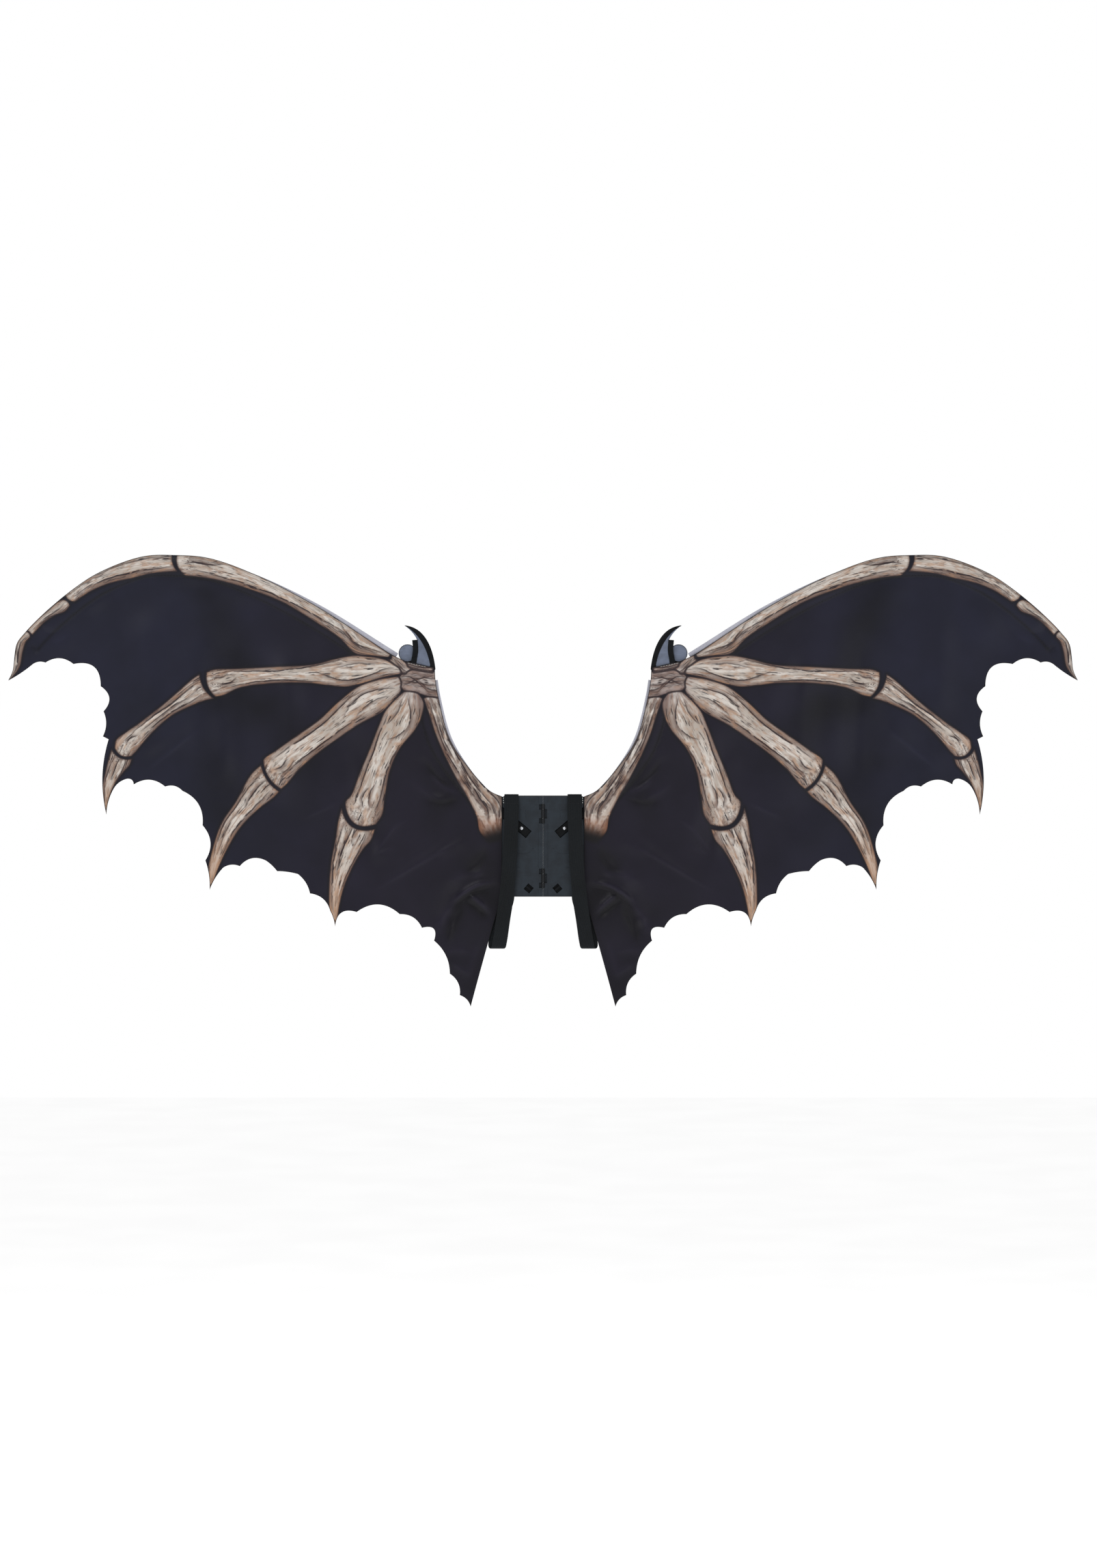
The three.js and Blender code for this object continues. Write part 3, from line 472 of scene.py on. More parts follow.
def fade_ends(along: Array, line: Array, taper: float) -> Array:
    """1 along the middle of a line, falling to 0 over a share of its length at each end."""
    length = chain_length(line)
    return smooth_step(along, 0.0, taper * length) * smooth_step(along, length, length - taper * length)


def bowed(start: Array, end: Array, bow: float, step: float) -> Array:
    """Points of a shallow curve bowed to the left of travel.

    Args:
        start: First point.
        end: Last point, which isn't returned.
        bow: Greatest distance from the straight line.
        step: Distance between points, about.

    Returns:
        The points from start on.
    """
    chord = end - start
    left = np.array([-chord[1], chord[0]]) / np.linalg.norm(chord)
    count = max(2, round((np.linalg.norm(chord) + abs(bow)) / step))
    share = np.linspace(0.0, 1.0, count, endpoint=False)[:, None]
    return start + chord * share + left * (4 * bow * share * (1 - share))


def nearest_on_line(points: Array, line: Array) -> tuple[Array, Array, Array]:
    """Nearest place on a chain of points.

    Args:
        points: Places to measure from.
        line: The chain.

    Returns:
        The distance, how far along the chain the nearest place is, and the side: 1 to the right of travel.
    """
    start, span = line[:-1], np.diff(line, axis=0)
    lengths = np.linalg.norm(span, axis=1)
    before = np.concatenate([[0.0], np.cumsum(lengths)[:-1]])
    found = [np.empty(len(points)) for _ in range(3)]
    chunk = 4000
    for first in range(0, len(points), chunk):
        rows = slice(first, first + chunk)
        offset = points[rows, None, :] - start[None]
        share = np.clip((offset * span).sum(2) / np.maximum(lengths**2, 1e-9), 0.0, 1.0)
        gap = np.linalg.norm(offset - share[..., None] * span, axis=2)
        best = gap.argmin(axis=1)
        index = np.arange(len(best))
        turn = span[best, 0] * offset[index, best, 1] - span[best, 1] * offset[index, best, 0]
        found[0][rows] = gap[index, best]
        found[1][rows] = before[best] + share[index, best] * lengths[best]
        found[2][rows] = np.where(turn < 0, 1.0, -1.0)
    return found[0], found[1], found[2]


def inside(points: Array, outline: Array) -> Array:
    """Finds the points that lie within a closed outline.

    Args:
        points: The points.
        outline: The outline's corners in order.

    Returns:
        True for each point inside.
    """
    within = np.zeros(len(points), bool)
    x, z = points[:, 0], points[:, 1]
    for (ax, az), (bx, bz) in zip(outline, np.roll(outline, -1, axis=0)):
        if az == bz:
            continue
        crosses = (az > z) != (bz > z)
        within ^= crosses & (x < (bx - ax) * (z - az) / (bz - az) + ax)
    return within


def outline_distance(points: Array, outline: Array) -> Array:
    """Distance to a closed outline, positive inside it."""
    gap = nearest_on_line(points, np.vstack([outline, outline[:1]]))[0]
    return np.where(inside(points, outline), gap, -gap)


def hex_grid(low: Array, high: Array, step: float) -> Array:
    """Points of a triangular grid that covers a rectangle.

    Args:
        low: Lower corner.
        high: Upper corner.
        step: Distance between neighbours.

    Returns:
        The grid's points.
    """
    rise = step * math.sqrt(3) / 2
    z, u = np.mgrid[low[1] : high[1] : rise, low[0] : high[0] : step]
    u[1::2] += step / 2
    return np.column_stack([u.ravel(), z.ravel()])


# Meshes


@dataclass
class MeshDraft:
    """Points, faces and finish numbers of a piece that is being put together."""

    points: list[Array] = field(default_factory=list)
    faces: list[Face] = field(default_factory=list)
    finish_numbers: list[int] = field(default_factory=list)
    count: int = 0

    def add(self, points: Array, faces: Sequence[Face], finish: int | Sequence[int] = 0) -> None:
        """Appends a shape.

        Args:
            points: Its points as u, y and z.
            faces: Its faces as rows of point numbers.
            finish: The finish number of all its faces, or one for each.
        """
        self.points.append(np.asarray(points, float))
        self.faces.extend(tuple(int(i) + self.count for i in face) for face in faces)
        self.finish_numbers.extend([finish] * len(faces) if isinstance(finish, int) else finish)
        self.count += len(points)

    def skin(self, rings: Array) -> None:
        """Appends the skin over a row of rings."""
        self.add(*loft(rings))

    def build(
        self,
        name: str,
        side: Side,
        finishes: Sequence[Finish],
        slot: str,
        replaces: str = "",
        smooth_below: float = 40.0,
    ) -> Piece:
        """Makes the piece for one half of the wings.

        Args:
            name: The piece's name without its side.
            side: The half; the left one is mirrored.
            finishes: Its finishes, in the order of their numbers.
            slot: Not used.
            replaces: The construction piece that it stands in for, without its side, if there is one.
            smooth_below: Edges that turn less than this many degrees are shaded smooth.

        Returns:
            The new object, riding on its half.
        """
        points = np.vstack(self.points) * MM
        points[:, 0] *= side.sign
        faces = self.faces if side is Side.RIGHT else [face[::-1] for face in self.faces]
        mesh = bpy.data.meshes.new(side.named(name))
        mesh.from_pydata(points.tolist(), [], faces)
        for finish in finishes:
            mesh.materials.append(finish.material)
        mesh.polygons.foreach_set("material_index", self.finish_numbers)
        mesh.shade_smooth()
        mesh.set_sharp_from_angle(angle=math.radians(smooth_below))
        mesh.update()
        piece = bpy.data.objects.new(mesh.name, mesh)
        bpy.context.scene.collection.objects.link(piece)
        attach(piece, side.body)
        if replaces:
            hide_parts(side.named(replaces))
        return piece


def loft(rings: Array) -> tuple[Array, list[Face]]:
    """Closed skin over a row of rings that run clockwise seen from the end towards the start.

    Args:
        rings: Points by ring and by place round the ring.

    Returns:
        The points and the faces, the two end faces last.
    """
    count, around = rings.shape[:2]
    faces: list[Face] = []
    for i in range(count - 1):
        for k in range(around):
            a, b = i * around + k, i * around + (k + 1) % around
            faces.append((a, b, b + around, a + around))
    faces.append(tuple(range(around))[::-1])
    faces.append(tuple(range((count - 1) * around, count * around)))
    return rings.reshape(-1, 3), faces


def bar_rings(
    line: Array,
    widths: float | Sequence[float],
    front: float,
    back: float,
    round_by: float,
) -> Array:
    """Rings of a flat bar with rounded edges.

    Args:
        line: Middle line as u and z.
        widths: Width all along, or at each point of the line.
        front: Depth of the front face.
        back: Depth of the back face.
        round_by: Radius of the edges.

    Returns:
        The rings, ready for loft.
    """
    corners = ((1, -1), (1, 1), (-1, 1), (-1, -1))
    rings = []
    for place, normal, width in zip(line, right_normals(line), np.broadcast_to(widths, len(line))):
        ring = []
        for number, (side, deep) in enumerate(corners):
            centre = back - round_by if deep > 0 else front + round_by
            for turn in (0.0, 30.0, 60.0, 90.0):
                angle = math.radians(turn if number % 2 else 90.0 - turn)
                reach = side * (width / 2 - round_by * (1 - math.cos(angle)))
                level = centre + deep * round_by * math.sin(angle)
                ring.append((place[0] + normal[0] * reach, level, place[1] + normal[1] * reach))
        rings.append(ring)
    return np.array(rings)


def lathe(middle: Point, profile: Sequence[Point], around: int) -> Array:
    """Rings of a round piece whose axis runs front to back.

    Args:
        middle: Axis as u and z.
        profile: Radius and depth of each ring, from the front to the back.
        around: Points in a ring.

    Returns:
        The rings, ready for loft.
    """
    turn = np.linspace(0.0, 2 * math.pi, around, endpoint=False)
    circle = np.column_stack([np.cos(turn), np.zeros(around), -np.sin(turn)])
    return np.array([np.array([middle[0], depth, middle[1]]) + radius * circle for radius, depth in profile])


@dataclass(frozen=True)
class Thread:
    """A thread that stitches are made of: the length and thickness of a stitch, and its form."""

    length: float
    thickness: float
    around: int = 6
    form: tuple[tuple[float, float, float], ...] = (
        (-1.0, 0.25, -0.5), (-0.8, 0.75, 0.0), (0.0, 1.0, 0.25), (0.8, 0.75, 0.0), (1.0, 0.25, -0.5),
    )

    def stitch(self, middle: Array, along: Array, out: Array) -> Array:
        """Rings of one stitch, from the form's shares of run, size and lift.

        Args:
            middle: Its middle.
            along: Unit vector of its run.
            out: Unit vector away from the cloth.

        Returns:
            The rings, ready for loft.
        """
        run_by, size_by = self.length / 2, self.thickness / 2
        turn = np.linspace(0.0, 2 * math.pi, self.around, endpoint=False)[:, None]
        circle = np.cos(turn) * out + np.sin(turn) * np.cross(along, out)
        return np.array(
            [
                middle + along * (run * run_by) + out * (lift * size_by) + circle * (size * size_by)
                for run, size, lift in self.form
            ]
        )


# Finishes


def tint(*levels: int) -> Colour:
    """The linear colour that a shader takes, from red, green and blue of 0 to 255."""
    shares = [level / 255 for level in levels]
    return (*(s / 12.92 if s <= 0.04045 else ((s + 0.055) / 1.055) ** 2.4 for s in shares), 1.0)


Socket = bpy.types.NodeSocket
Value = Union[Socket, float, Colour]


class Shader:
    """A material's node tree, with short ways to add nodes and join them."""

    def __init__(self, name: str) -> None:
        """Starts a material with one surface shader.

        Args:
            name: The material's name.
        """
        self.material = bpy.data.materials.new(name)
        self.material.use_nodes = True
        self.tree = self.material.node_tree
        self.surface = self.tree.nodes["Principled BSDF"]

    def set(self, **values: Value) -> None:
        """Sets or links the surface shader's sockets, named with underscores for spaces."""
        for name, value in values.items():
            self.feed(self.surface.inputs[name.replace("_", " ")], value)

    def feed(self, socket: Socket, value: Value) -> None:
        """Links a socket to another, or sets its own value.

        Args:
            socket: The socket to feed.
            value: Another node's output, or a constant.
        """
        if isinstance(value, bpy.types.NodeSocket):
            self.tree.links.new(value, socket)
        else:
            socket.default_value = value

    def node(self, kind: str, inputs: dict[int | str, Value], **settings: str) -> bpy.types.Node:
        """Adds a node.

        Args:
            kind: The node's type without its ShaderNode prefix.
            inputs: Values by socket name or number.
            settings: The node's own settings.

        Returns:
            The node.
        """
        made = self.tree.nodes.new(f"ShaderNode{kind}")
        for name, value in settings.items():
            setattr(made, name, value)
        for key, value in inputs.items():
            self.feed(made.inputs[key], value)
        return made

    def math(self, operation: str, first: Value, second: Value = 0.0) -> Socket:
        """One sum of two values."""
        return self.node("Math", {0: first, 1: second}, operation=operation).outputs[0]

    def product(self, *values: Value) -> Socket:
        """All the values multiplied."""
        return reduce(partial(self.math, "MULTIPLY"), values)

    def ramp(self, value: Value, low: float, high: float, top: float = 1.0) -> Socket:
        """Smooth rise from 0 at low to top at high."""
        inputs = {"Value": value, "From Min": low, "From Max": high, "To Min": 0.0, "To Max": top}
        return self.node("MapRange", inputs, interpolation_type="SMOOTHSTEP").outputs[0]

    def uneven(self, noise: Socket, middle: float, spread: float) -> Socket:
        """A value that noise moves about its middle."""
        return self.math("ADD", self.ramp(noise, 0.2, 0.8, spread), middle - spread / 2)

    def blend(self, share: Value, first: Value, second: Value) -> Socket:
        """Mixes two colours."""
        return self.node("Mix", {0: share, 6: first, 7: second}, data_type="RGBA").outputs[2]

    def scaled(self, colour: Value, share: Value) -> Socket:
        """A colour made lighter or darker."""
        return self.node("VectorMath", {0: colour, "Scale": share}, operation="SCALE").outputs[0]

    def attribute(self, name: str) -> Socket:
        """A number that the mesh carries at its points."""
        return self.node("Attribute", {}, attribute_name=name).outputs["Fac"]

    def attribute_parts(self, name: str) -> list[Socket]:
        """Three numbers that the mesh carries together at its points."""
        return self.parts(self.node("Attribute", {}, attribute_name=name).outputs["Vector"])

    def parts(self, vector: Value) -> list[Socket]:
        """The three numbers of a vector."""
        return list(self.node("SeparateXYZ", {0: vector}).outputs)

    def vector(self, x: Value, y: Value, z: Value = 0.0) -> Socket:
        """A vector of three numbers."""
        return self.node("CombineXYZ", {0: x, 1: y, 2: z}).outputs[0]

    def place(self) -> Socket:
        """The point's place in the piece's own frame, in metres."""
        return self.node("TexCoord", {}).outputs["Object"]

    def noise(self, vector: Value, scale: float, detail: float = 2.0, rough: float = 0.5) -> Socket:
        """Soft noise from 0 to 1."""
        inputs = {"Vector": vector, "Scale": scale, "Detail": detail, "Roughness": rough}
        return self.node("TexNoise", inputs).outputs[0]

    def bump(self, height: Value, distance: float, strength: float) -> None:
        """Roughens the surface by a height in metres."""
        inputs = {"Height": height, "Distance": distance, "Strength": strength}
        self.feed(self.surface.inputs["Normal"], self.node("Bump", inputs).outputs[0])

    def weave(self, thread: float, depth: float) -> None:
        """Roughens the surface with crossed threads.

        Args:
            thread: Spacing of the threads in metres.
            depth: Height of the threads in metres.
        """
        x, _, z = self.parts(self.place())
        turns = 2 * math.pi / thread
        warp = self.math("SINE", self.product(x, turns))
        weft = self.math("SINE", self.product(z, turns))
        self.bump(self.product(warp, weft), depth, 0.35)


class BonePaint:
    """A bone's colour as its coats are laid on, and the values that the mesh carries there."""

    def __init__(self, shader: Shader, edge: Socket, ground: Colour) -> None:
        """Reads the mesh's values and lays the first coat.

        Args:
            shader: The material.
            edge: Distance inside the bone's outline.
            ground: The first coat.
        """
        self.shader = shader
        self.edge = edge
        self.colour: Value = ground
        self.along, self.across, self.pitted = shader.attribute_parts("bone_place")
        self.fade, self.wrist, self.soot = shader.attribute_parts("bone_tint")
        self.patch = self.streaks(0.05, 1.8, 1.2, 2.0)

    def coat(self, share: Value, colour: Colour) -> None:
        """Lays another colour over what is there."""
        self.colour = self.shader.blend(share, self.colour, colour)

    def streaks(self, per_along: float, per_across: float, scale: float, detail: float) -> Socket:
        """Soft noise that is drawn out along the bone."""
        drawn = (self.shader.product(self.along, per_along), self.shader.product(self.across, per_across))
        return self.shader.noise(self.shader.vector(*drawn), scale, detail)


@dataclass(frozen=True)
class PrintedSatin:
    """Dark satin with bones printed on its front."""

    blue_black: Colour = tint(25, 26, 42)
    plum_black: Colour = tint(25, 22, 35)
    halo: Colour = tint(19, 17, 20)
    cream: Colour = tint(214, 206, 198)
    cream_deep: Colour = tint(182, 171, 161)
    tan: Colour = tint(152, 121, 102)
    sienna: Colour = tint(176, 134, 102)
    violet: Colour = tint(148, 137, 141)
    brown: Colour = tint(92, 68, 60)
    rust: Colour = tint(150, 98, 70)
    ink: Colour = tint(43, 34, 38)
    roughness: float = 0.44
    gloss: float = 0.22
    sheen: float = 0.03
    thread: float = 0.0007
    thread_depth: float = 0.000012
    pits_per_metre: float = 300.0

    def bone_colour(self, shader: Shader, edge: Socket) -> Value:
        """Nodes that draw a bone from the values that the mesh carries.

        Args:
            shader: The material.
            edge: Distance inside the bone's outline.

        Returns:
            The bone's colour.
        """
        paint = BonePaint(shader, edge, self.cream_deep)
        self.shade(paint)
        paint.coat(shader.product(paint.wrist, 0.4), self.violet)
        paint.coat(shader.product(shader.attribute("bone_warmth"), 0.7), self.sienna)
        paint.coat(shader.product(paint.soot, shader.ramp(paint.patch, 0.4, 0.6)), self.brown)
        self.draw_lines(paint)
        self.hatch(paint)
        self.pit(paint)
        paint.coat(shader.ramp(shader.attribute("bone_seam"), 3.8, 1.5, 0.9), self.ink)
        paint.coat(shader.ramp(edge, 1.8, 0.5, 0.92), self.ink)
        paint.coat(shader.ramp(paint.fade, 0.0, 0.5, 0.5), self.rust)
        paint.coat(shader.ramp(paint.fade, 0.3, 1.0), self.halo)
        return paint.colour

    def shade(self, paint: BonePaint) -> None:
        """Paints a bone's roundness: pale in the middle and brown towards its edges.

        Args:
            paint: The bone's coats.
        """
        shader = paint.shader
        paint.coat(shader.ramp(paint.streaks(0.016, 2.4, 1.0, 2.0), 0.38, 0.6), self.cream)
        paint.coat(shader.ramp(paint.streaks(0.022, 4.6, 1.1, 2.0), 0.52, 0.66, 0.6), self.tan)
        paint.coat(shader.ramp(shader.math("ABSOLUTE", paint.across), 0.3, 1.0, 0.55), self.tan)
        paint.coat(shader.ramp(paint.across, -0.35, -1.0, 0.6), self.brown)
        paint.coat(shader.ramp(paint.edge, 4.6, 0.4, 0.75), self.brown)
        paint.coat(shader.ramp(paint.streaks(0.06, 1.9, 1.3, 3.0), 0.52, 0.7, 0.55), self.tan)
        paint.coat(shader.ramp(paint.streaks(0.03, 1.5, 1.7, 2.0), 0.5, 0.66, 0.5), self.sienna)

    def draw_lines(self, paint: BonePaint) -> None:
        """Draws a bone's ink lines, each with brown shading on one side.

        Args:
            paint: The bone's coats.
        """
        shader = paint.shader
        wobble = paint.streaks(0.045, 1.2, 1.0, 3.0)
        sway = shader.product(shader.math("SUBTRACT", wobble, 0.5), 4.5)
        broken = shader.ramp(paint.streaks(0.09, 3.0, 1.0, 1.0), 0.32, 0.45)
        for group in range(BonePrint.lines // 3):
            distances = shader.attribute_parts(f"bone_crease_{group}")
            weights = shader.attribute_parts(f"bone_weight_{group}")
            for distance, weight in zip(distances, weights):
                drawn = shader.math("ADD", distance, sway)
                near, far = shader.ramp(drawn, -1.0, 0.3), shader.ramp(drawn, 7.5, 0.3)
                paint.coat(shader.product(near, far, weight, 0.75), self.brown)
                stroke = shader.ramp(shader.math("ABSOLUTE", drawn), 1.4, 0.6)
                paint.coat(shader.product(stroke, broken, weight, 0.95), self.ink)

    def hatch(self, paint: BonePaint) -> None:
        """Adds fine ink strokes that run along a bone in patches.

        Args:
            paint: The bone's coats.
        """
        shader = paint.shader
        bold = shader.ramp(paint.streaks(0.035, 10.0, 1.0, 2.0), 0.56, 0.61)
        paint.coat(shader.product(bold, shader.ramp(paint.patch, 0.45, 0.58), 0.9), self.ink)
        hair = shader.ramp(paint.streaks(0.1, 25.0, 1.0, 1.0), 0.57, 0.66)
        paint.coat(shader.product(hair, shader.ramp(paint.patch, 0.38, 0.58), 0.6), self.ink)

    def pit(self, paint: BonePaint) -> None:
        """Smudges a bone's ends and pits them with small dark holes.

        Args:
            paint: The bone's coats.
        """
        shader = paint.shader
        smudge = shader.ramp(paint.streaks(0.08, 2.6, 1.0, 3.0), 0.5, 0.62)
        paint.coat(shader.product(smudge, paint.pitted, 0.6), self.brown)
        x, _, z = shader.parts(shader.place())
        spots = {"Vector": shader.vector(shader.math("ABSOLUTE", x), z), "Scale": self.pits_per_metre}
        cells = shader.node("TexVoronoi", spots, feature="F1").outputs["Distance"]
        hole, gathered = shader.ramp(cells, 0.3, 0.16), shader.ramp(paint.patch, 0.4, 0.52)
        paint.coat(shader.product(hole, paint.pitted, gathered, 0.8), self.ink)

    def cloth_colour(self, shader: Shader, edge: Socket) -> Socket:
        """Nodes for the dark cloth between the bones.

        Args:
            shader: The material.
            edge: Distance inside the nearest bone's outline, negative on the cloth.

        Returns:
            The cloth's colour.
        """
        light, blue, _ = shader.attribute_parts("cloth_tone")
        mottle = shader.noise(shader.place(), 14.0, 3.0)
        share = shader.math("ADD", light, shader.ramp(mottle, 0.3, 0.7, 0.25))
        colour = shader.scaled(shader.blend(blue, self.plum_black, self.blue_black), share)
        return shader.blend(shader.ramp(edge, -5.0, -0.3, 0.6), colour, self.halo)

    def build(self) -> Material:
        """Makes the material.

        Returns:
            The printed front of the cloth.
        """
        shader = Shader("printed_satin")
        edge = shader.attribute("bone_edge")
        printed = shader.ramp(edge, -0.25, 0.25)
        colour = shader.blend(printed, self.cloth_colour(shader, edge), self.bone_colour(shader, edge))
        cut = shader.ramp(shader.attribute_parts("cloth_tone")[2], 1.3, 0.4, 0.85)
        colour = shader.blend(cut, colour, self.halo)
        shader.set(
            Base_Color=colour,
            Roughness=shader.uneven(shader.noise(shader.place(), 900.0, 1.0), self.roughness, 0.16),
            Specular_IOR_Level=self.gloss,
            Sheen_Weight=self.sheen,
            Sheen_Roughness=0.4,
        )
        shader.weave(self.thread, self.thread_depth)
        return shader.material


@dataclass(frozen=True)
class PlainCloth:
    """Cloth of one colour with a weave and soft mottling, and painted shade in its grooves where it is
    ribbed.
    """

    name: str
    colour: Colour
    shade: Colour
    roughness: float = 0.72
    sheen: float = 0.1
    thread: float = 0.0008
    thread_depth: float = 0.00005
    gloss: float = 0.25
    groove_shade: Colour | None = None

    def build(self) -> Material:
        """Makes the material.

        Returns:
            The cloth.
        """
        shader = Shader(self.name)
        mottle = shader.noise(shader.place(), 22.0, 4.0)
        fine = shader.noise(shader.place(), 700.0, 2.0)
        share = shader.math("ADD", shader.ramp(mottle, 0.3, 0.7, 0.75), shader.ramp(fine, 0.3, 0.7, 0.25))
        colour = shader.blend(share, self.shade, self.colour)
        # Painted shade in the grooves between the ribs
        if self.groove_shade:
            colour = shader.blend(shader.ramp(shader.attribute("rib"), 0.55, 0.1), colour, self.groove_shade)
        shader.set(
            Base_Color=colour,
            Roughness=shader.uneven(fine, self.roughness, 0.14),
            Specular_IOR_Level=self.gloss,
            Sheen_Weight=self.sheen,
            Sheen_Roughness=0.5,
        )
        shader.weave(self.thread, self.thread_depth)
        return shader.material


@dataclass(frozen=True)
class MouldedPlastic:
    """Moulded plastic with a fine texture and slight mottling; if asked, painted shade along its top and
    bottom edges and darkened hinge barrels.
    """

    name: str
    colour: Colour
    shade: Colour
    roughness: float = 0.5
    shaded_rim_height: float = 0.0
    shaded_rim_soft: float = 0.0006
    # Near-black for the painted shade along the edges and for the darkened hinge barrels
    rim: Colour = tint(16, 17, 20)
    gloss: float = 0.35
    knuckles: tuple[float, ...] = ()
    knuckle_soft: float = 0.0002
    marks: tuple[float, float, float] = (60.0, 60.0, 420.0)

    def build(self) -> Material:
        """Makes the material.

        Returns:
            The plastic.
        """
        shader = Shader(self.name)
        cloud = shader.noise(shader.place(), 60.0, 5.0, 0.6)
        grain = shader.noise(shader.place(), 2600.0, 2.0)
        parts = shader.parts(shader.place())
        marks = [shader.product(part, scale) for part, scale in zip(parts, self.marks)]
        scuff = shader.noise(shader.vector(*marks), 1.0, 3.0)
        colour = shader.blend(shader.ramp(cloud, 0.34, 0.66), self.shade, self.colour)
        colour = shader.scaled(colour, shader.math("ADD", shader.ramp(scuff, 0.55, 0.75, 0.22), 0.94))
        # Painted shade along the plate's top and bottom edges
        if self.shaded_rim_height:
            height = shader.math("ABSOLUTE", shader.parts(shader.place())[2])
            dark = shader.ramp(height, self.shaded_rim_height - self.shaded_rim_soft, self.shaded_rim_height)
            colour = shader.blend(dark, colour, self.rim)
        # Hinge barrels darkened to near black
        if self.knuckles:
            colour = shader.blend(self.at_knuckles(shader), colour, self.rim)
        shader.set(
            Base_Color=colour,
            Roughness=shader.uneven(cloud, self.roughness, 0.18),
            Specular_IOR_Level=self.gloss,
        )
        shader.bump(grain, 0.00004, 0.4)
        return shader.material

    def at_knuckles(self, shader: Shader) -> Socket:
        """Nodes that find the hinge barrels, which the plastic darkens, at the same height above and below
        the middle.

        Args:
            shader: The material.

        Returns:
            A share that is nearly 1 on a barrel and 0 elsewhere.
        """
        reach, middle, half = self.knuckles
        x, _, z = (shader.math("ABSOLUTE", part) for part in shader.parts(shader.place()))
        off = shader.math("ABSOLUTE", shader.math("SUBTRACT", z, middle))
        beside = shader.ramp(x, reach + self.knuckle_soft, reach)
        level = shader.ramp(off, half + self.knuckle_soft, half)
        return shader.product(beside, level, 0.9)


@dataclass(frozen=True)
class BrightSteel:
    """Polished steel with fine scratches."""

    name: str = "bright_steel"
    colour: Colour = tint(222, 224, 228)
    shade: Colour = tint(196, 198, 203)
    roughness: float = 0.22

    def build(self) -> Material:
        """Makes the material.

        Returns:
            The steel.
        """
        shader = Shader(self.name)
        scratch = shader.noise(shader.place(), 1500.0, 3.0, 0.7)
        shader.set(
            Base_Color=shader.blend(shader.ramp(scratch, 0.3, 0.7), self.shade, self.colour),
            Metallic=1.0,
            Roughness=shader.math("ADD", shader.ramp(scratch, 0.3, 0.7, 0.18), self.roughness),
        )
        return shader.material


class Finish(Enum):
    """Every finish of the wings."""

    PRINT = PrintedSatin()
    BACK = PlainCloth("plain_satin", tint(40, 38, 48), tint(31, 29, 37), 0.6, sheen=0.02, gloss=0.14)
    CASING = PlainCloth("pale_lining", tint(192, 192, 202), tint(166, 166, 178))
    ELASTIC = PlainCloth(
        "ribbed_elastic",
        tint(21, 26, 30),
        tint(13, 17, 20),
        roughness=0.85,
        sheen=0.04,
        thread=0.0011,
        groove_shade=tint(8, 9, 11),
    )
    THREAD = PlainCloth("dark_thread", tint(30, 29, 34), tint(20, 19, 23))
    PALE_THREAD = PlainCloth("pale_thread", tint(205, 208, 205), tint(170, 174, 172))
    PLATE = MouldedPlastic(
        "slate_plastic",
        tint(36, 44, 52),
        tint(30, 36, 43),
        shaded_rim_height=0.0697,
        gloss=0.28,
        knuckles=(0.0026, 0.045, 0.013),
    )
    BLACK = MouldedPlastic("black_plastic", tint(17, 19, 22), tint(11, 13, 15), gloss=0.12)
    # The claw's web and the lobe's face: the same black plastic as the arms, painted grey-blue as a painted
    # reflection of the pale sky
    WEB = MouldedPlastic("lit_black_plastic", tint(110, 119, 139), tint(96, 104, 121), 0.46)
    STEEL = BrightSteel()

    @cached_property
    def material(self) -> Material:
        """The finish's material, made once and shared."""
        return self.value.build()


# Sub-assemblies


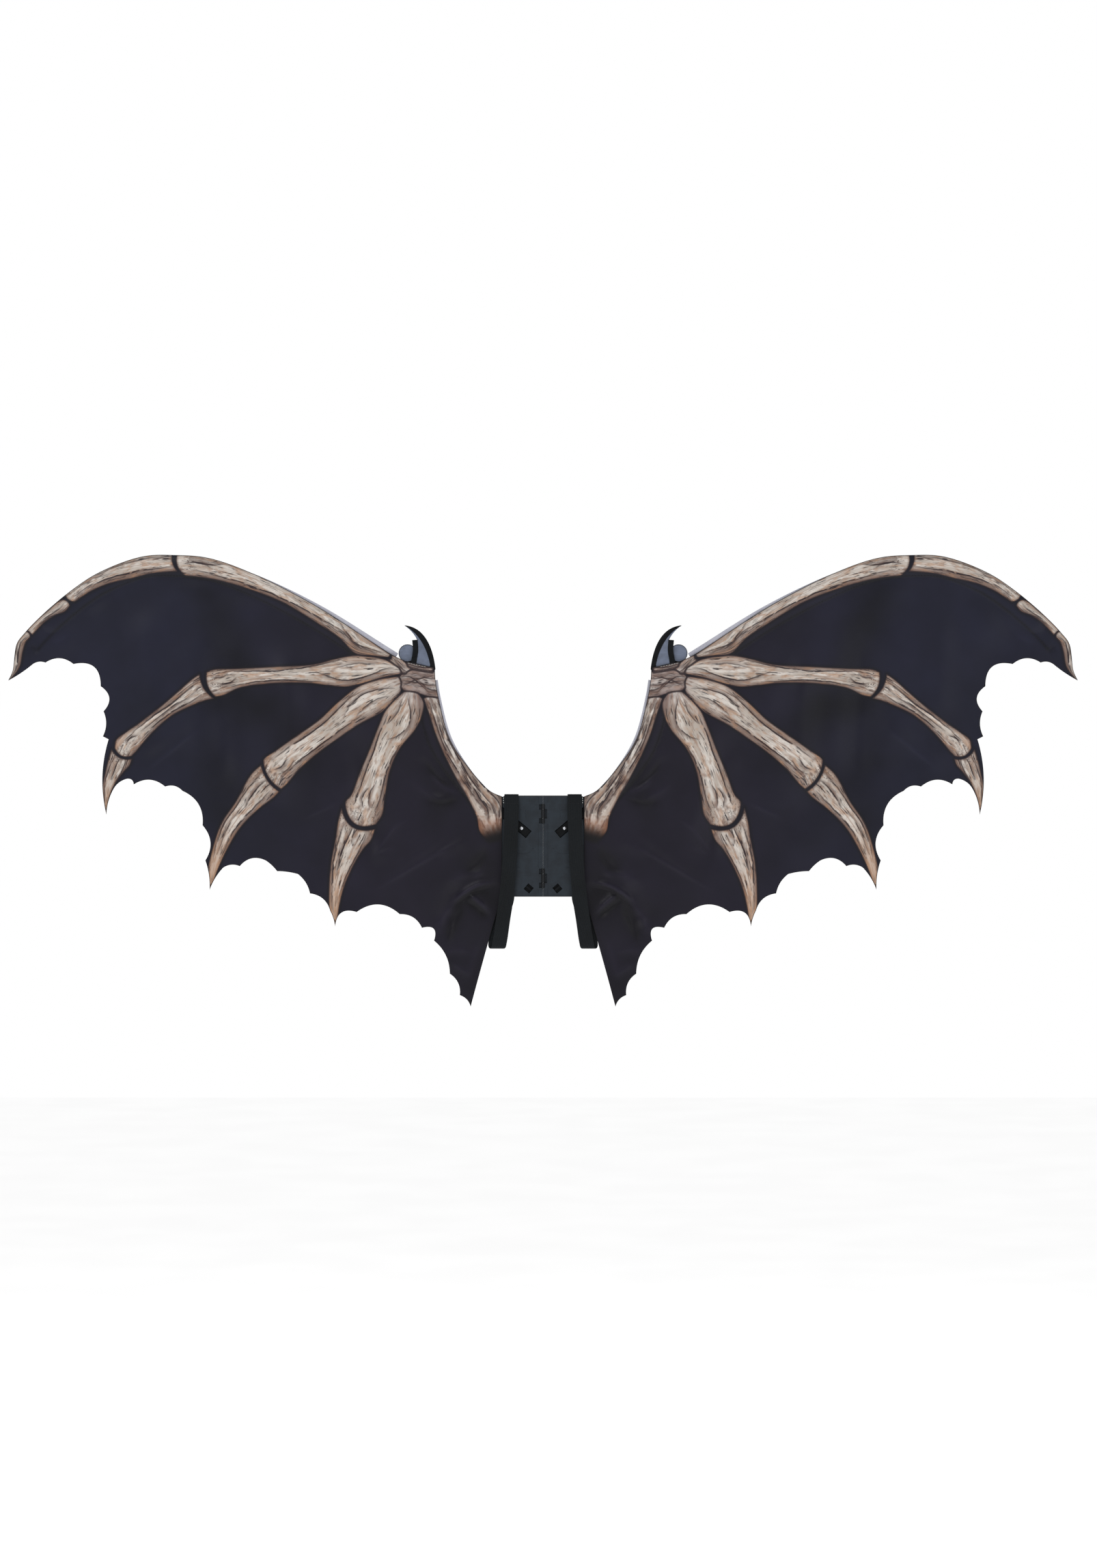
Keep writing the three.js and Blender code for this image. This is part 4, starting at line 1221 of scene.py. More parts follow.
@dataclass
class WingPlan:
    """Outline, sleeves, relief and tone of one wing in its own plane."""

    layer: float = 4.0
    sleeve_rise: float = 4.0
    sleeve_half: float = 15.0
    sleeve_roundness: float = 0.6
    wrist_pocket: Point = (176.0, 246.0)
    wrist_pocket_radius: float = 48.0
    plate_edge: float = 64.0
    fade_start: float = 6.0
    fade_length: float = 26.0
    plate_side_bow: float = 0.4
    inner_hem_bow: float = 0.5
    arm_step: float = 4.0
    edge_step: float = 2.0
    fold_fall: float = 2.0
    fold_taper: float = 0.3
    wrinkle_fall: float = 1.6
    wrinkle_taper: float = 0.4
    wrinkle_point: float = 0.25
    flange_low: Point = (-44.0, -62.0)
    base_tone: float = 0.82
    least_tone: float = 0.2
    # Painted light on the tops of the thin creases and painted shade in their hollows, per millimetre of
    # their height
    crease_tone: float = 0.3
    low_inner_tone: float = 0.22
    low_inner_u: Point = (170.0, 70.0)
    low_inner_z: Point = (60.0, -40.0)
    blue_range: Point = (180.0, 560.0)
    claw_hem: tuple[float, float, float] = (145.0, 197.0, 244.0)
    claw_hem_share: float = 0.45
    seam_inset: float = 29.0
    seam_half: float = 2.4
    # Painted shade in the hollow along the sleeve seams
    seam_shade: float = 0.5
    top_seam: tuple[int, int] = (12, -34)
    inner_seam: tuple[int, int] = (12, -6)
    ripple_seed: int = 7
    ripple_count: int = 9
    ripple_rise: float = 0.28
    ripple_lengths: Point = (38.0, 150.0)

    def __post_init__(self) -> None:
        """Works out the lines that every piece of the wing shares."""
        self.inner_edge = curve_through(INNER_EDGE, self.edge_step)
        self.top_edge = curve_through(TOP_EDGE, self.edge_step)
        self.claw_arm = curve_through(CLAW_ARM, self.arm_step)
        self.wing_arm = curve_through(WING_ARM, self.arm_step)
        random = np.random.default_rng(self.ripple_seed)
        turn = random.uniform(0.0, math.pi, self.ripple_count)
        lengths = random.uniform(*self.ripple_lengths, self.ripple_count)
        self.ripple_waves = np.column_stack([np.cos(turn), np.sin(turn)]) * (2 * math.pi / lengths)[:, None]
        self.ripple_starts = random.uniform(0.0, 2 * math.pi, self.ripple_count)

    @staticmethod
    def plane(line: Array) -> Array:
        """The u and z columns of a line."""
        return line[:, [0, 2]]

    def inset(self, line: Array, by: float = 0.0) -> Array:
        """A line beside the cloth's own edge, which lies inside the casing's by the lip."""
        flat = self.plane(line)
        return flat + right_normals(flat) * (by + line[:, 1:2])

    def outline(self) -> Array:
        """The cloth's closed outline.

        Returns:
            Points in order round the wing.
        """
        scallops = [
            bowed(np.array(row[:2]), np.array(after[:2]), row.bow, self.edge_step)
            for row, after in zip(SCALLOPS, SCALLOPS[1:])
        ]
        hem = np.vstack(scallops)
        leading = np.vstack([self.inset(self.inner_edge), self.inset(self.top_edge)])
        low = np.array(LOW_CORNER)
        plate_side = bowed(leading[0], low, self.plate_side_bow, self.edge_step)[1:]
        inner_hem = bowed(low, hem[0], self.inner_hem_bow, self.edge_step)
        return np.vstack([hem, leading[::-1], plate_side, inner_hem])

    def sleeve_seams(self) -> list[Array]:
        """The lines of stitches that close the two sleeves."""
        sewn = (self.top_edge[slice(*self.top_seam)], self.inner_edge[slice(*self.inner_seam)])
        return [self.inset(line, self.seam_inset) for line in sewn]

    def bulge(self, share: Array) -> Array:
        """1 along the middle of a sleeve, falling to 0 at its stitched sides."""
        return np.maximum(1.0 - np.minimum(share, 1.0) ** 2, 0.0) ** self.sleeve_roundness

    def arm_distance(self, points: Array) -> Array:
        """Distance from the nearer arm's middle line."""
        arms = (self.claw_arm, self.wing_arm)
        return np.minimum(*(nearest_on_line(points, self.plane(arm))[0] for arm in arms))

    def relief(self, points: Array) -> Array:
        """Height of the folds towards the strap side.

        Args:
            points: Places on the wing.

        Returns:
            The height at each place.
        """
        height = np.zeros(len(points))
        for fold in FOLDS:
            line = fold.line()
            distance, along, _ = nearest_on_line(points, line)
            share = distance / fold.width
            form = np.exp(-self.fold_fall * share * share)
            height += fold.gain * form * fade_ends(along, line, self.fold_taper)
        return height

    def wrinkles(self, points: Array) -> Array:
        """Height of the thin creases, which are sharper along their tops than the folds.

        Args:
            points: Places on the wing.

        Returns:
            The height at each place.
        """
        height = np.zeros(len(points))
        for wrinkle in WRINKLES:
            line = wrinkle.line()
            distance, along, _ = nearest_on_line(points, line)
            share = np.hypot(distance / wrinkle.width, self.wrinkle_point) - self.wrinkle_point
            form = np.exp(-self.wrinkle_fall * share)
            height += wrinkle.rise * form * fade_ends(along, line, self.wrinkle_taper)
        return height

    def depth(self, points: Array) -> Array:
        """Depth of the middle of the cloth.

        Args:
            points: Places on the wing as u and z.

        Returns:
            The depth at each place.
        """
        from_arm = self.arm_distance(points)
        pocket = np.linalg.norm(points - np.array(self.wrist_pocket), axis=1) / self.wrist_pocket_radius
        sleeve = np.maximum(self.bulge(from_arm / self.sleeve_half), self.bulge(pocket))
        below = self.fade_length * smooth_step(points[:, 1], *self.flange_low)
        room = np.minimum(from_arm - self.sleeve_half, points[:, 0] - self.plate_edge + below)
        free = smooth_step(room, self.fade_start, self.fade_start + self.fade_length)
        fine = self.wrinkles(points)
        fine += self.ripple_rise * np.sin(points @ self.ripple_waves.T + self.ripple_starts).sum(axis=1)
        fine *= smooth_step(room, 0.0, self.fade_start + self.fade_length / 2)
        return self.layer - self.sleeve_rise * sleeve - free * self.relief(points) - fine

    def tone(self, points: Array) -> Array:
        """How light and how blue the dark cloth is, with painted light and shade along its folds, creases and
        seams.

        Args:
            points: Places on the wing.

        Returns:
            A row of lightness, blueness and distance from the cut edge for each place.
        """
        light = np.full(len(points), self.base_tone)
        # Streaks of painted light and painted shade along the folds
        for band in LIGHT_AND_SHADE_BANDS:
            share = nearest_on_line(points, band.line())[0] / band.width
            light += band.gain * np.exp(-share * share)
        # Painted shade along the stitched sleeve seams
        for seam in self.sleeve_seams():
            share = nearest_on_line(points, seam)[0] / self.seam_half
            light -= self.seam_shade * np.exp(-share * share)
        u, z = points.T
        blue = smooth_step(u, *self.blue_range)
        low_inner = smooth_step(u, *self.low_inner_u) * smooth_step(z, *self.low_inner_z)
        light -= self.low_inner_tone * low_inner
        # Painted light on the crease tops and painted shade in the crease hollows
        light += self.crease_tone * self.wrinkles(points)
        cut = np.abs(outline_distance(points, self.outline()))
        first, last, low = self.claw_hem
        cut[(u > first) & (u < last) & (z > low)] *= self.claw_hem_share
        return np.column_stack([np.maximum(light, self.least_tone), blue, cut])


@dataclass
class BonePrint:
    """Works out, for places on the wing, what the printed bones need to know there."""

    bones: tuple[Bone, ...]
    outline_step: float = 1.5
    near: float = 14.0
    pit_reach: Point = (30.0, 6.0)
    wrist: Point = (172.0, 232.0)
    wrist_reach: Point = (52.0, 12.0)
    wrist_soot: float = 0.3
    along_apart: float = 400.0
    across_most: float = 1.4
    least_half: float = 2.0
    fade_length: float = 0.2
    warm_from: float = 0.3
    past_end: float = 25.0
    lines: int = 6

    def __post_init__(self) -> None:
        """Lays out the bones' outlines and middle lines."""
        self.outlines: list[Array] = []
        self.middles: list[Array] = []
        self.halves: list[Array] = []
        for bone in self.bones:
            stations = np.array(bone.stations)
            near_row, far_row = stations[:, :2], stations[:, 2:]
            near = curve_through(near_row, self.outline_step)
            far = curve_through(far_row, self.outline_step)
            end = bowed(near[-1], far[-1], -bone.end_bow, self.outline_step)[1:]
            start = bowed(far[0], near[0], -bone.start_bow, self.outline_step)[1:]
            self.outlines.append(np.vstack([near, end, far[::-1], start]))
            middle = curve_through((near_row + far_row) / 2, self.outline_step)
            half = np.maximum(np.linalg.norm(near_row - far_row, axis=1) / 2, self.least_half)
            share, row_share = np.linspace(0.0, 1.0, len(middle)), np.linspace(0.0, 1.0, len(stations))
            self.middles.append(self.run_on(middle))
            self.halves.append(np.interp(share, row_share, half))

    def run_on(self, middle: Array) -> Array:
        """Takes a middle line straight on past both of its ends.

        Args:
            middle: The line.

        Returns:
            The longer line.
        """
        start, end = middle[0] - middle[2], middle[-1] - middle[-3]
        before = middle[0] + start / np.linalg.norm(start) * self.past_end
        after = middle[-1] + end / np.linalg.norm(end) * self.past_end
        return np.vstack([before, middle, after])

    def edge(self, points: Array) -> tuple[Array, Array, Array]:
        """Distance inside the nearest bone's outline, and which bone that is.

        Args:
            points: Places on the wing.

        Returns:
            The distance, negative on bare cloth, the bone's number and its lead over the next bone.
        """
        best = np.full(len(points), -self.near)
        second = best.copy()
        owner = np.zeros(len(points), int)
        for number, outline in enumerate(self.outlines):
            low, high = outline.min(axis=0) - self.near, outline.max(axis=0) + self.near
            close = np.flatnonzero(((points > low) & (points < high)).all(axis=1))
            if not len(close):
                continue
            distance = outline_distance(points[close], outline)
            better = distance > best[close]
            second[close] = np.where(better, best[close], np.maximum(second[close], distance))
            best[close[better]] = distance[better]
            owner[close[better]] = number
        return best, owner, best - second

    def line_values(self, bone: Bone, along: Array, across: Array, half: Array) -> Array:
        """Distance from each drawn line of a bone and the line's weight there.

        Args:
            bone: The bone.
            along: Share of its length.
            across: Share of its half width.
            half: Its half width.

        Returns:
            A column of distance for each line, then a column of weight for each.
        """
        values = np.zeros((len(along), 2 * self.lines))
        for number, crease in enumerate(bone.creases):
            knots, levels, weight = crease[0:6:2], crease[1:6:2], crease[6]
            level = np.polyval(np.polyfit(knots, levels, 2), np.clip(along, knots[0], knots[2]))
            run = np.clip((along - knots[0]) / (knots[2] - knots[0]), 0.0, 1.0)
            outwards = 1.0 if levels[1] >= 0 else -1.0
            values[:, number] = (across - level) * half * outwards
            values[:, self.lines + number] = weight * np.sqrt(np.sin(math.pi * run).clip(0.0))
        return values

    def values(self, points: Array) -> dict[str, Array]:
        """Everything that the print's material reads.

        Args:
            points: Places on the wing.

        Returns:
            Numbers or vectors by attribute name.
        """
        edge, owner, seam = self.edge(points)
        place = np.zeros((len(points), 3))
        lines = np.zeros((len(points), 2 * self.lines))
        shades = np.zeros((len(points), 3))
        warmth = np.zeros(len(points))
        for number, bone in enumerate(self.bones):
            mine = np.flatnonzero((owner == number) & (edge > -self.near))
            if not len(mine):
                continue
            middle = self.middles[number]
            distance, run, hand = nearest_on_line(points[mine], middle)
            far_hand = nearest_on_line(np.array(bone.stations)[1:2, 2:], middle)[2][0]
            length = chain_length(middle) - 2 * self.past_end
            run -= self.past_end
            along = run / length
            half = np.interp(along, np.linspace(0.0, 1.0, len(middle) - 2), self.halves[number])
            across = np.clip(distance * hand * far_hand / half, -self.across_most, self.across_most)
            pits = np.maximum(
                bone.start_pits * smooth_step(run, *self.pit_reach),
                bone.end_pits * smooth_step(length - run, *self.pit_reach),
            )
            place[mine] = np.column_stack([run + number * self.along_apart, across, pits])
            lines[mine] = self.line_values(bone, along, across, half)
            shades[mine, 0] = smooth_step(along, bone.fade_from, bone.fade_from + self.fade_length)
            shades[mine, 2] = bone.soot
            warmth[mine] = bone.warmth * smooth_step(along, self.warm_from, 1.0)
        reach = np.linalg.norm(points - np.array(self.wrist), axis=1)
        shades[:, 1] = smooth_step(reach, *self.wrist_reach)
        shades[:, 2] = np.maximum(shades[:, 2], self.wrist_soot * shades[:, 1])
        values = {"bone_edge": edge, "bone_seam": seam, "bone_place": place, "bone_tint": shades}
        values["bone_warmth"] = warmth
        for group in range(self.lines // 3):
            first = 3 * group
            values[f"bone_crease_{group}"] = lines[:, first : first + 3]
            values[f"bone_weight_{group}"] = lines[:, self.lines + first : self.lines + first + 3]
        return values


@dataclass
class WingCloth:
    """The scalloped cloth of a wing, printed on the front, with its stitches."""

    plan: WingPlan
    bones: BonePrint
    wall: float = 0.5
    smooth_below: float = 60.0
    fine_grid: float = 1.75
    middle_grid: float = 3.0
    coarse_grid: float = 4.6
    crease_grid: float = 2.2
    crease_reach: float = 1.8
    fine_from: float = -2.5
    middle_from: float = -8.0
    edge_room: float = 0.55
    thread: Thread = Thread(3.0, 0.55)
    stitch_apart: float = 4.4
    stitch_skip: float = 1.5
    stitch_inside: float = 2.0
    stitch_off_bone: float = -1.0
    hem_inset: float = 5.0
    hem_sewn: tuple[int, int] = (4, -8)
    claw_hem: tuple[Point, Point] = ((189.0, 255.4), (163.0, 249.8))
    bake_margin: float = 0.005
    bake_share: float = 0.72
    bake_back_share: float = 0.24
    flat_size: Point = (0.692, 0.634)
    flat_area: float = 0.2085

    def __post_init__(self) -> None:
        """Fills the outline with triangles and reads the print at their corners."""
        self.outline = self.plan.outline()
        self.flat, self.faces = self.fill()
        self.depth = self.plan.depth(self.flat)
        self.values = self.bones.values(self.flat)
        self.values["cloth_tone"] = self.plan.tone(self.flat)

    def grid(self, step: float, least: float, most: float) -> Array:
        """Grid points within the outline at some range from the bones.

        Args:
            step: Distance between neighbours.
            least: Least distance inside the nearest bone, negative on bare cloth.
            most: Greatest distance inside it.

        Returns:
            The points.
        """
        points = hex_grid(self.outline.min(axis=0), self.outline.max(axis=0), step)
        edge = self.bones.edge(points)[0]
        points = points[(edge > least) & (edge <= most)]
        return points[inside(points, self.outline)]

    def fill(self) -> tuple[Array, Array]:
        """Triangles over the outline, small on the bones and larger between them.

        Returns:
            The points in the plane and the faces, which run anticlockwise.
        """
        levels = (
            (self.fine_grid, self.fine_from, math.inf),
            (self.middle_grid, self.middle_from, self.fine_from),
            (self.coarse_grid, -math.inf, self.middle_from),
        )
        kept = [self.outline]
        for step, least, most in levels:
            grid = self.grid(step, least, most)
            if step != self.fine_grid:
                creased = self.grid(self.crease_grid, least, most)
                grid = np.vstack([grid[~self.near_wrinkle(grid)], creased[self.near_wrinkle(creased)]])
            kept.append(grid[outline_distance(grid, self.outline) > step * self.edge_room])
        points = [Vector(point) for point in np.vstack(kept)]
        border = [list(range(len(self.outline)))]
        found = delaunay_2d_cdt(points, [], border, 1, 1e-4)
        flat = np.array([tuple(point) for point in found[0]])
        faces = np.array([face for face in found[2] if len(face) == 3])
        corners = flat[faces]
        first, second = corners[:, 1] - corners[:, 0], corners[:, 2] - corners[:, 0]
        clockwise = first[:, 0] * second[:, 1] - first[:, 1] * second[:, 0] < 0
        faces[clockwise] = faces[clockwise][:, ::-1]
        return flat, faces

    def near_wrinkle(self, points: Array) -> Array:
        """Finds the places close enough to a thin crease or a seam to need small triangles.

        Args:
            points: Places on the wing.

        Returns:
            True for each such place.
        """
        lines = [(wrinkle.line(), wrinkle.width) for wrinkle in WRINKLES]
        lines += [(seam, self.plan.seam_half) for seam in self.plan.sleeve_seams()]
        near = np.zeros(len(points), bool)
        for line, width in lines:
            near |= nearest_on_line(points, line)[0] < self.crease_reach * width
        return near

    def build(self, side: Side) -> Piece:
        """Makes one wing's cloth and its stitches.

        Args:
            side: The half.

        Returns:
            The cloth.
        """
        count = len(self.flat)
        front = np.column_stack([self.flat[:, 0], self.depth - self.wall / 2, self.flat[:, 1]])
        back = front + np.array([0.0, self.wall, 0.0])
        sides = np.vstack([self.faces[:, [0, 1]], self.faces[:, [1, 2]], self.faces[:, [2, 0]]])
        codes = sides[:, 0] * count + sides[:, 1]
        rim = sides[~np.isin(sides[:, 1] * count + sides[:, 0], codes)]
        rim_faces = np.column_stack([rim[:, 1], rim[:, 0], rim[:, 0] + count, rim[:, 1] + count])
        faces = [*self.faces.tolist(), *(self.faces[:, ::-1] + count).tolist(), *rim_faces.tolist()]
        finish = [0] * len(self.faces) + [1] * (len(self.faces) + len(rim))
        draft = MeshDraft()
        draft.add(np.vstack([front, back]), faces, finish)
        both = (Finish.PRINT, Finish.BACK)
        cloth = draft.build("wing_satin", side, both, "wing_cloth", "wing_cloth", self.smooth_below)
        self.carry_values(cloth.data)
        self.bake_map(cloth.data)
        stitches = self.sew(self.holes()).build("sleeve_stitches", side, (Finish.THREAD,), "wing_cloth")
        claw_row = even_points(np.array(self.claw_hem), self.stitch_apart)
        claw_hem = self.sew([claw_row]).build("claw_hem_stitches", side, (Finish.PALE_THREAD,), "casing")
        return cloth

    def carry_values(self, mesh: bpy.types.Mesh) -> None:
        """Stores the print's numbers on the mesh, the same on the front and the back.

        Args:
            mesh: The cloth's mesh.
        """
        for name, values in self.values.items():
            kind, key = ("FLOAT", "value") if values.ndim == 1 else ("FLOAT_VECTOR", "vector")
            attribute = mesh.attributes.new(name, kind, "POINT")
            both = np.concatenate([values, values]).astype(np.float32)
            attribute.data.foreach_set(key, both.ravel())

    def bake_map(self, mesh: bpy.types.Mesh) -> None:
        """Gives the cloth a flat map, with the printed front large and the plain back small beside it.

        Args:
            mesh: The cloth's mesh.
        """
        low = self.flat.min(axis=0)
        share = (self.flat - low) / (self.flat.max(axis=0) - low).max()
        front = self.bake_margin + share * self.bake_share
        back = self.bake_margin + share * self.bake_back_share + np.array([0.0, self.bake_share])
        places = np.vstack([front, back])
        corners = np.empty(len(mesh.loops), np.int32)
        mesh.loops.foreach_get("vertex_index", corners)
        layer = mesh.uv_layers.new(name="OFBake")
        layer.data.foreach_set("uv", places[corners].astype(np.float32).ravel())

    def holes(self) -> list[Array]:
        """Needle holes along the sleeves and the free inner hem.

        Returns:
            The rows of holes.
        """
        hem = bowed(np.array(LOW_CORNER), self.outline[0], self.plan.inner_hem_bow, self.plan.edge_step)
        hem_row = (hem - right_normals(hem) * self.hem_inset)[slice(*self.hem_sewn)]
        rows_of_holes = []
        for row in (*self.plan.sleeve_seams(), hem_row):
            places = even_points(row, self.stitch_apart)
            places = places[outline_distance(places, self.outline) > self.stitch_inside]
            rows_of_holes.append(places[self.bones.edge(places)[0] < self.stitch_off_bone])
        return rows_of_holes

    def sew(self, rows_of_holes: Sequence[Array]) -> MeshDraft:
        """Puts a thread between each two neighbouring holes of a row.

        Args:
            rows_of_holes: The rows.

        Returns:
            The stitches as one draft.
        """
        draft = MeshDraft()
        for places in rows_of_holes:
            depth = self.plan.depth(places) - self.wall / 2
            spots = np.column_stack([places[:, 0], depth, places[:, 1]])
            for before, after in zip(spots, spots[1:]):
                along = after - before
                if np.linalg.norm(along) > self.stitch_skip * self.stitch_apart:
                    continue
                along /= np.linalg.norm(along)
                out = np.array([0.0, -1.0, 0.0]) + along * along[1]
                out /= np.linalg.norm(out)
                draft.skin(self.thread.stitch((before + after) / 2, along, out))
        return draft


@dataclass
class Casing:
    """A pale strip sewn behind the leading edge, which makes the arm's sleeve."""

    plan: WingPlan
    name: str
    rows: tuple[EdgeRow, ...]
    rests_on: str
    wall: float = 0.6
    smooth_below: float = 70.0
    width: float = 31.0
    tuck: float = 1.0
    rise: float = 2.4
    flat: float = 5.4
    step: float = 5.0
    across: int = 15
    rim_share: float = 0.4
    hem_rise: float = 0.25
    hem_place: float = 0.94
    hem_half: float = 0.05
    run_on: float = 0.0

    def build(self, side: Side) -> Piece:
        """Makes the strip.

        Args:
            side: The half.

        Returns:
            The strip.
        """
        line = curve_through(self.rows, self.step)
        if self.run_on:
            line = np.vstack([line[0] + (line[0] - line[1]) * self.run_on / self.step, line])
        flat, lip = self.plan.plane(line), line[:, 1]
        start = self.tuck * (1 - lip / max(row.lip for row in self.rows))
        shares = np.linspace(0.0, 1.0, self.across)
        reach = start[:, None] + (self.width + lip - start)[:, None] * shares
        places = flat[:, None] + right_normals(flat)[:, None] * reach[..., None]
        from_arm = self.plan.arm_distance(places.reshape(-1, 2)).reshape(reach.shape)
        depth = self.flat + self.rise * self.plan.bulge(from_arm / self.plan.sleeve_half)
        hem = np.exp(-(((shares - self.hem_place) / self.hem_half) ** 2)) * self.hem_rise
        thick = np.where((shares == 0) | (shares == 1), self.rim_share, 1.0) * self.wall / 2
        rings = []
        for place, level in zip(places, depth):
            front = np.column_stack([place[:, 0], level - thick, place[:, 1]])
            back = np.column_stack([place[:, 0], level + thick + hem, place[:, 1]])
            rings.append(np.vstack([front, back[::-1]]))
        draft = MeshDraft()
        draft.skin(np.array(rings)[:, ::-1])
        name, finish = f"{self.name}_strip", (Finish.CASING,)
        piece = draft.build(name, side, finish, "casing", self.name, self.smooth_below)
        return piece


@dataclass
class InnerArm:
    """The arm from the plate to the wrist, with the thumb claw that shows above the wing."""

    plan: WingPlan
    smooth_below: float = 35.0
    front: float = 1.8
    back: float = 6.2
    lap: float = 3.85
    web: float = 1.45
    rim: float = 0.2
    edge_round: float = 0.6
    thin_from: float = 206.0
    tip: Point = (194.0, 308.0)
    back_edge: tuple[Point, ...] = ((150.0, 247.0), (153.0, 275.0), (164.0, 306.0))
    rim_edge: tuple[Point, ...] = ((157.6, 253.0), (161.5, 275.0), (173.0, 297.5))
    hollow: tuple[Point, ...] = ((178.0, 250.0), (177.0, 262.0), (175.0, 286.0), (181.0, 300.0))
    hollow_bend: float = 0.45
    root: tuple[Point, ...] = ((176.0, 236.0), (160.0, 236.0), (155.0, 236.0))
    root_share: float = -1.0
    sections: int = 40
    last_section: float = 0.985
    full_width: float = 9.0
    tuck_shares: tuple[float, float, float] = (-1.0, 0.0, 0.12)
    tuck_rises: tuple[float, float, float] = (0.45, 0.65, 1.0)
    rib: tuple[Point, ...] = ((180.8, 252.0), (179.9, 259.0), (177.8, 273.0), (178.7, 287.5))
    rib_step: float = 2.0
    rib_front: float = 0.4
    rib_width: float = 7.6
    rib_round: float = 0.5

    def claw_edges(self, share: float) -> tuple[Array, Array, Array]:
        """The claw's hollow edge, its rim's inner edge and its back at a share of the way to the tip.

        Args:
            share: 0 at the heel and 1 at the tip.

        Returns:
            The three points.
        """
        if share < self.hollow_bend:
            inner = bezier(*self.hollow[:3], share=share / self.hollow_bend)
        else:
            part = (share - self.hollow_bend) / (1 - self.hollow_bend)
            inner = bezier(*self.hollow[2:], self.tip, share=part)
        edges = (bezier(*edge, self.tip, share=share) for edge in (self.rim_edge, self.back_edge))
        return inner, *edges

    def claw(self) -> tuple[Array, list[Face], list[int]]:
        """The claw's skin: a flat web with a round rim along its back.

        Returns:
            The points, the faces and a finish number for each face, 1 on the web.
        """
        sections = [(self.root_share, *(np.array(point) for point in self.root))]
        for share in np.linspace(0.0, self.last_section, self.sections):
            sections.append((float(share), *self.claw_edges(float(share))))
        rings = []
        for along, inner, rim, outer in sections:
            room = min(1.0, float(np.linalg.norm(outer - inner)) / self.full_width)
            room *= float(np.interp(along, self.tuck_shares, self.tuck_rises))
            levels = {
                Level.LAP: self.lap,
                Level.WEB: self.lap - (self.lap - self.web) * room,
                Level.TOP: self.lap - (self.lap - self.rim) * room,
            }
            ring = []
            for point in CLAW_RING:
                start, end = (rim, outer) if point.on_rim else (inner, rim)
                u, z = start + (end - start) * point.share
                ring.append((u, levels[point.level] + point.behind * room, z))
            rings.append(ring[::-1])
        points, faces = loft(np.array(rings))
        around = len(CLAW_RING)
        web = range(around - sum(not point.on_rim for point in CLAW_RING), around - 1)
        finish = [int(number % around in web) for number in range(len(faces) - 2)]
        return points, faces, [*finish, 0, 0]

    def build(self, side: Side) -> Piece:
        """Makes the arm with its claw and rib.

        Args:
            side: The half.

        Returns:
            The arm.
        """
        line, widths = self.plan.plane(self.plan.claw_arm), self.plan.claw_arm[:, 1]
        last = int(np.argmin(line[:, 1] < self.thin_from))
        thick, thin = slice(last + 1), slice(last, None)
        draft = MeshDraft()
        draft.skin(bar_rings(line[thick], widths[thick], self.front, self.back, self.edge_round))
        draft.skin(bar_rings(line[thin], widths[thin], self.front, self.lap, self.edge_round))
        draft.add(*self.claw())
        rib = curve_through(self.rib, self.rib_step)
        draft.skin(bar_rings(rib, self.rib_width, self.rib_front, self.lap, self.rib_round))
        both = (Finish.BLACK, Finish.WEB)
        return draft.build("claw_arm_moulding", side, both, "arm", "claw_arm", self.smooth_below)


@dataclass
class OuterArm:
    """The arm from the wrist to near the tip, with the round lobe that shows beside the claw."""

    plan: WingPlan
    smooth_below: float = 35.0
    front: float = 1.8
    back: float = 6.2
    lap: float = 4.15
    edge_round: float = 0.6
    thin_to: float = 212.0
    lobe: Point = (189.0, 269.0)
    lobe_radius: float = 12.5
    lobe_around: int = 64
    lobe_middle: float = 0.4
    lobe_front: tuple[Point, ...] = ((2.6, 0.04), (0.85, 0.12), (0.75, 0.05), (0.35, 0.1), (0.0, 0.5))
    lobe_back: tuple[Point, ...] = ((0.0, 0.5), (0.5, 0.0))
    lobe_web_rings: int = 2
    neck: tuple[Point, ...] = ((181.0, 246.0), (189.0, 269.0))
    neck_widths: Point = (16.0, 20.0)
    neck_sink: float = 0.1
    neck_round: float = 0.3

    def lobe_skin(self) -> tuple[Array, list[Face], list[int]]:
        """The lobe's skin: a disc with a flat web and a narrow rim round it.

        Returns:
            The points, the faces and a finish number for each face, 1 on the web.
        """
        front = [(self.lobe_radius - inset, self.lap + sink) for inset, sink in self.lobe_front]
        back = [(self.lobe_radius - inset, self.back - sink) for inset, sink in self.lobe_back]
        ends = ((self.lobe_middle, self.lap), (self.lobe_middle, self.back))
        points, faces = loft(lathe(self.lobe, [ends[0], *front, *back, ends[1]], self.lobe_around))
        web_faces = self.lobe_web_rings * self.lobe_around
        finish = [int(number < web_faces) for number in range(len(faces) - 2)]
        return points, faces, [*finish, 1, 0]

    def build(self, side: Side) -> Piece:
        """Makes the arm with its lobe.

        Args:
            side: The half.

        Returns:
            The arm.
        """
        line, widths = self.plan.plane(self.plan.wing_arm), self.plan.wing_arm[:, 1]
        first = int(np.argmax(line[:, 0] > self.thin_to))
        thick, thin = slice(first, None), slice(first + 1)
        draft = MeshDraft()
        draft.skin(bar_rings(line[thick], widths[thick], self.front, self.back, self.edge_round))
        draft.skin(bar_rings(line[thin], widths[thin], self.lap, self.back, self.edge_round))
        neck_front = self.lap + self.neck_sink
        draft.skin(bar_rings(np.array(self.neck), self.neck_widths, neck_front, self.back, self.neck_round))
        draft.add(*self.lobe_skin())
        both = (Finish.BLACK, Finish.WEB)
        return draft.build("wing_arm_moulding", side, both, "arm", "wing_arm", self.smooth_below)


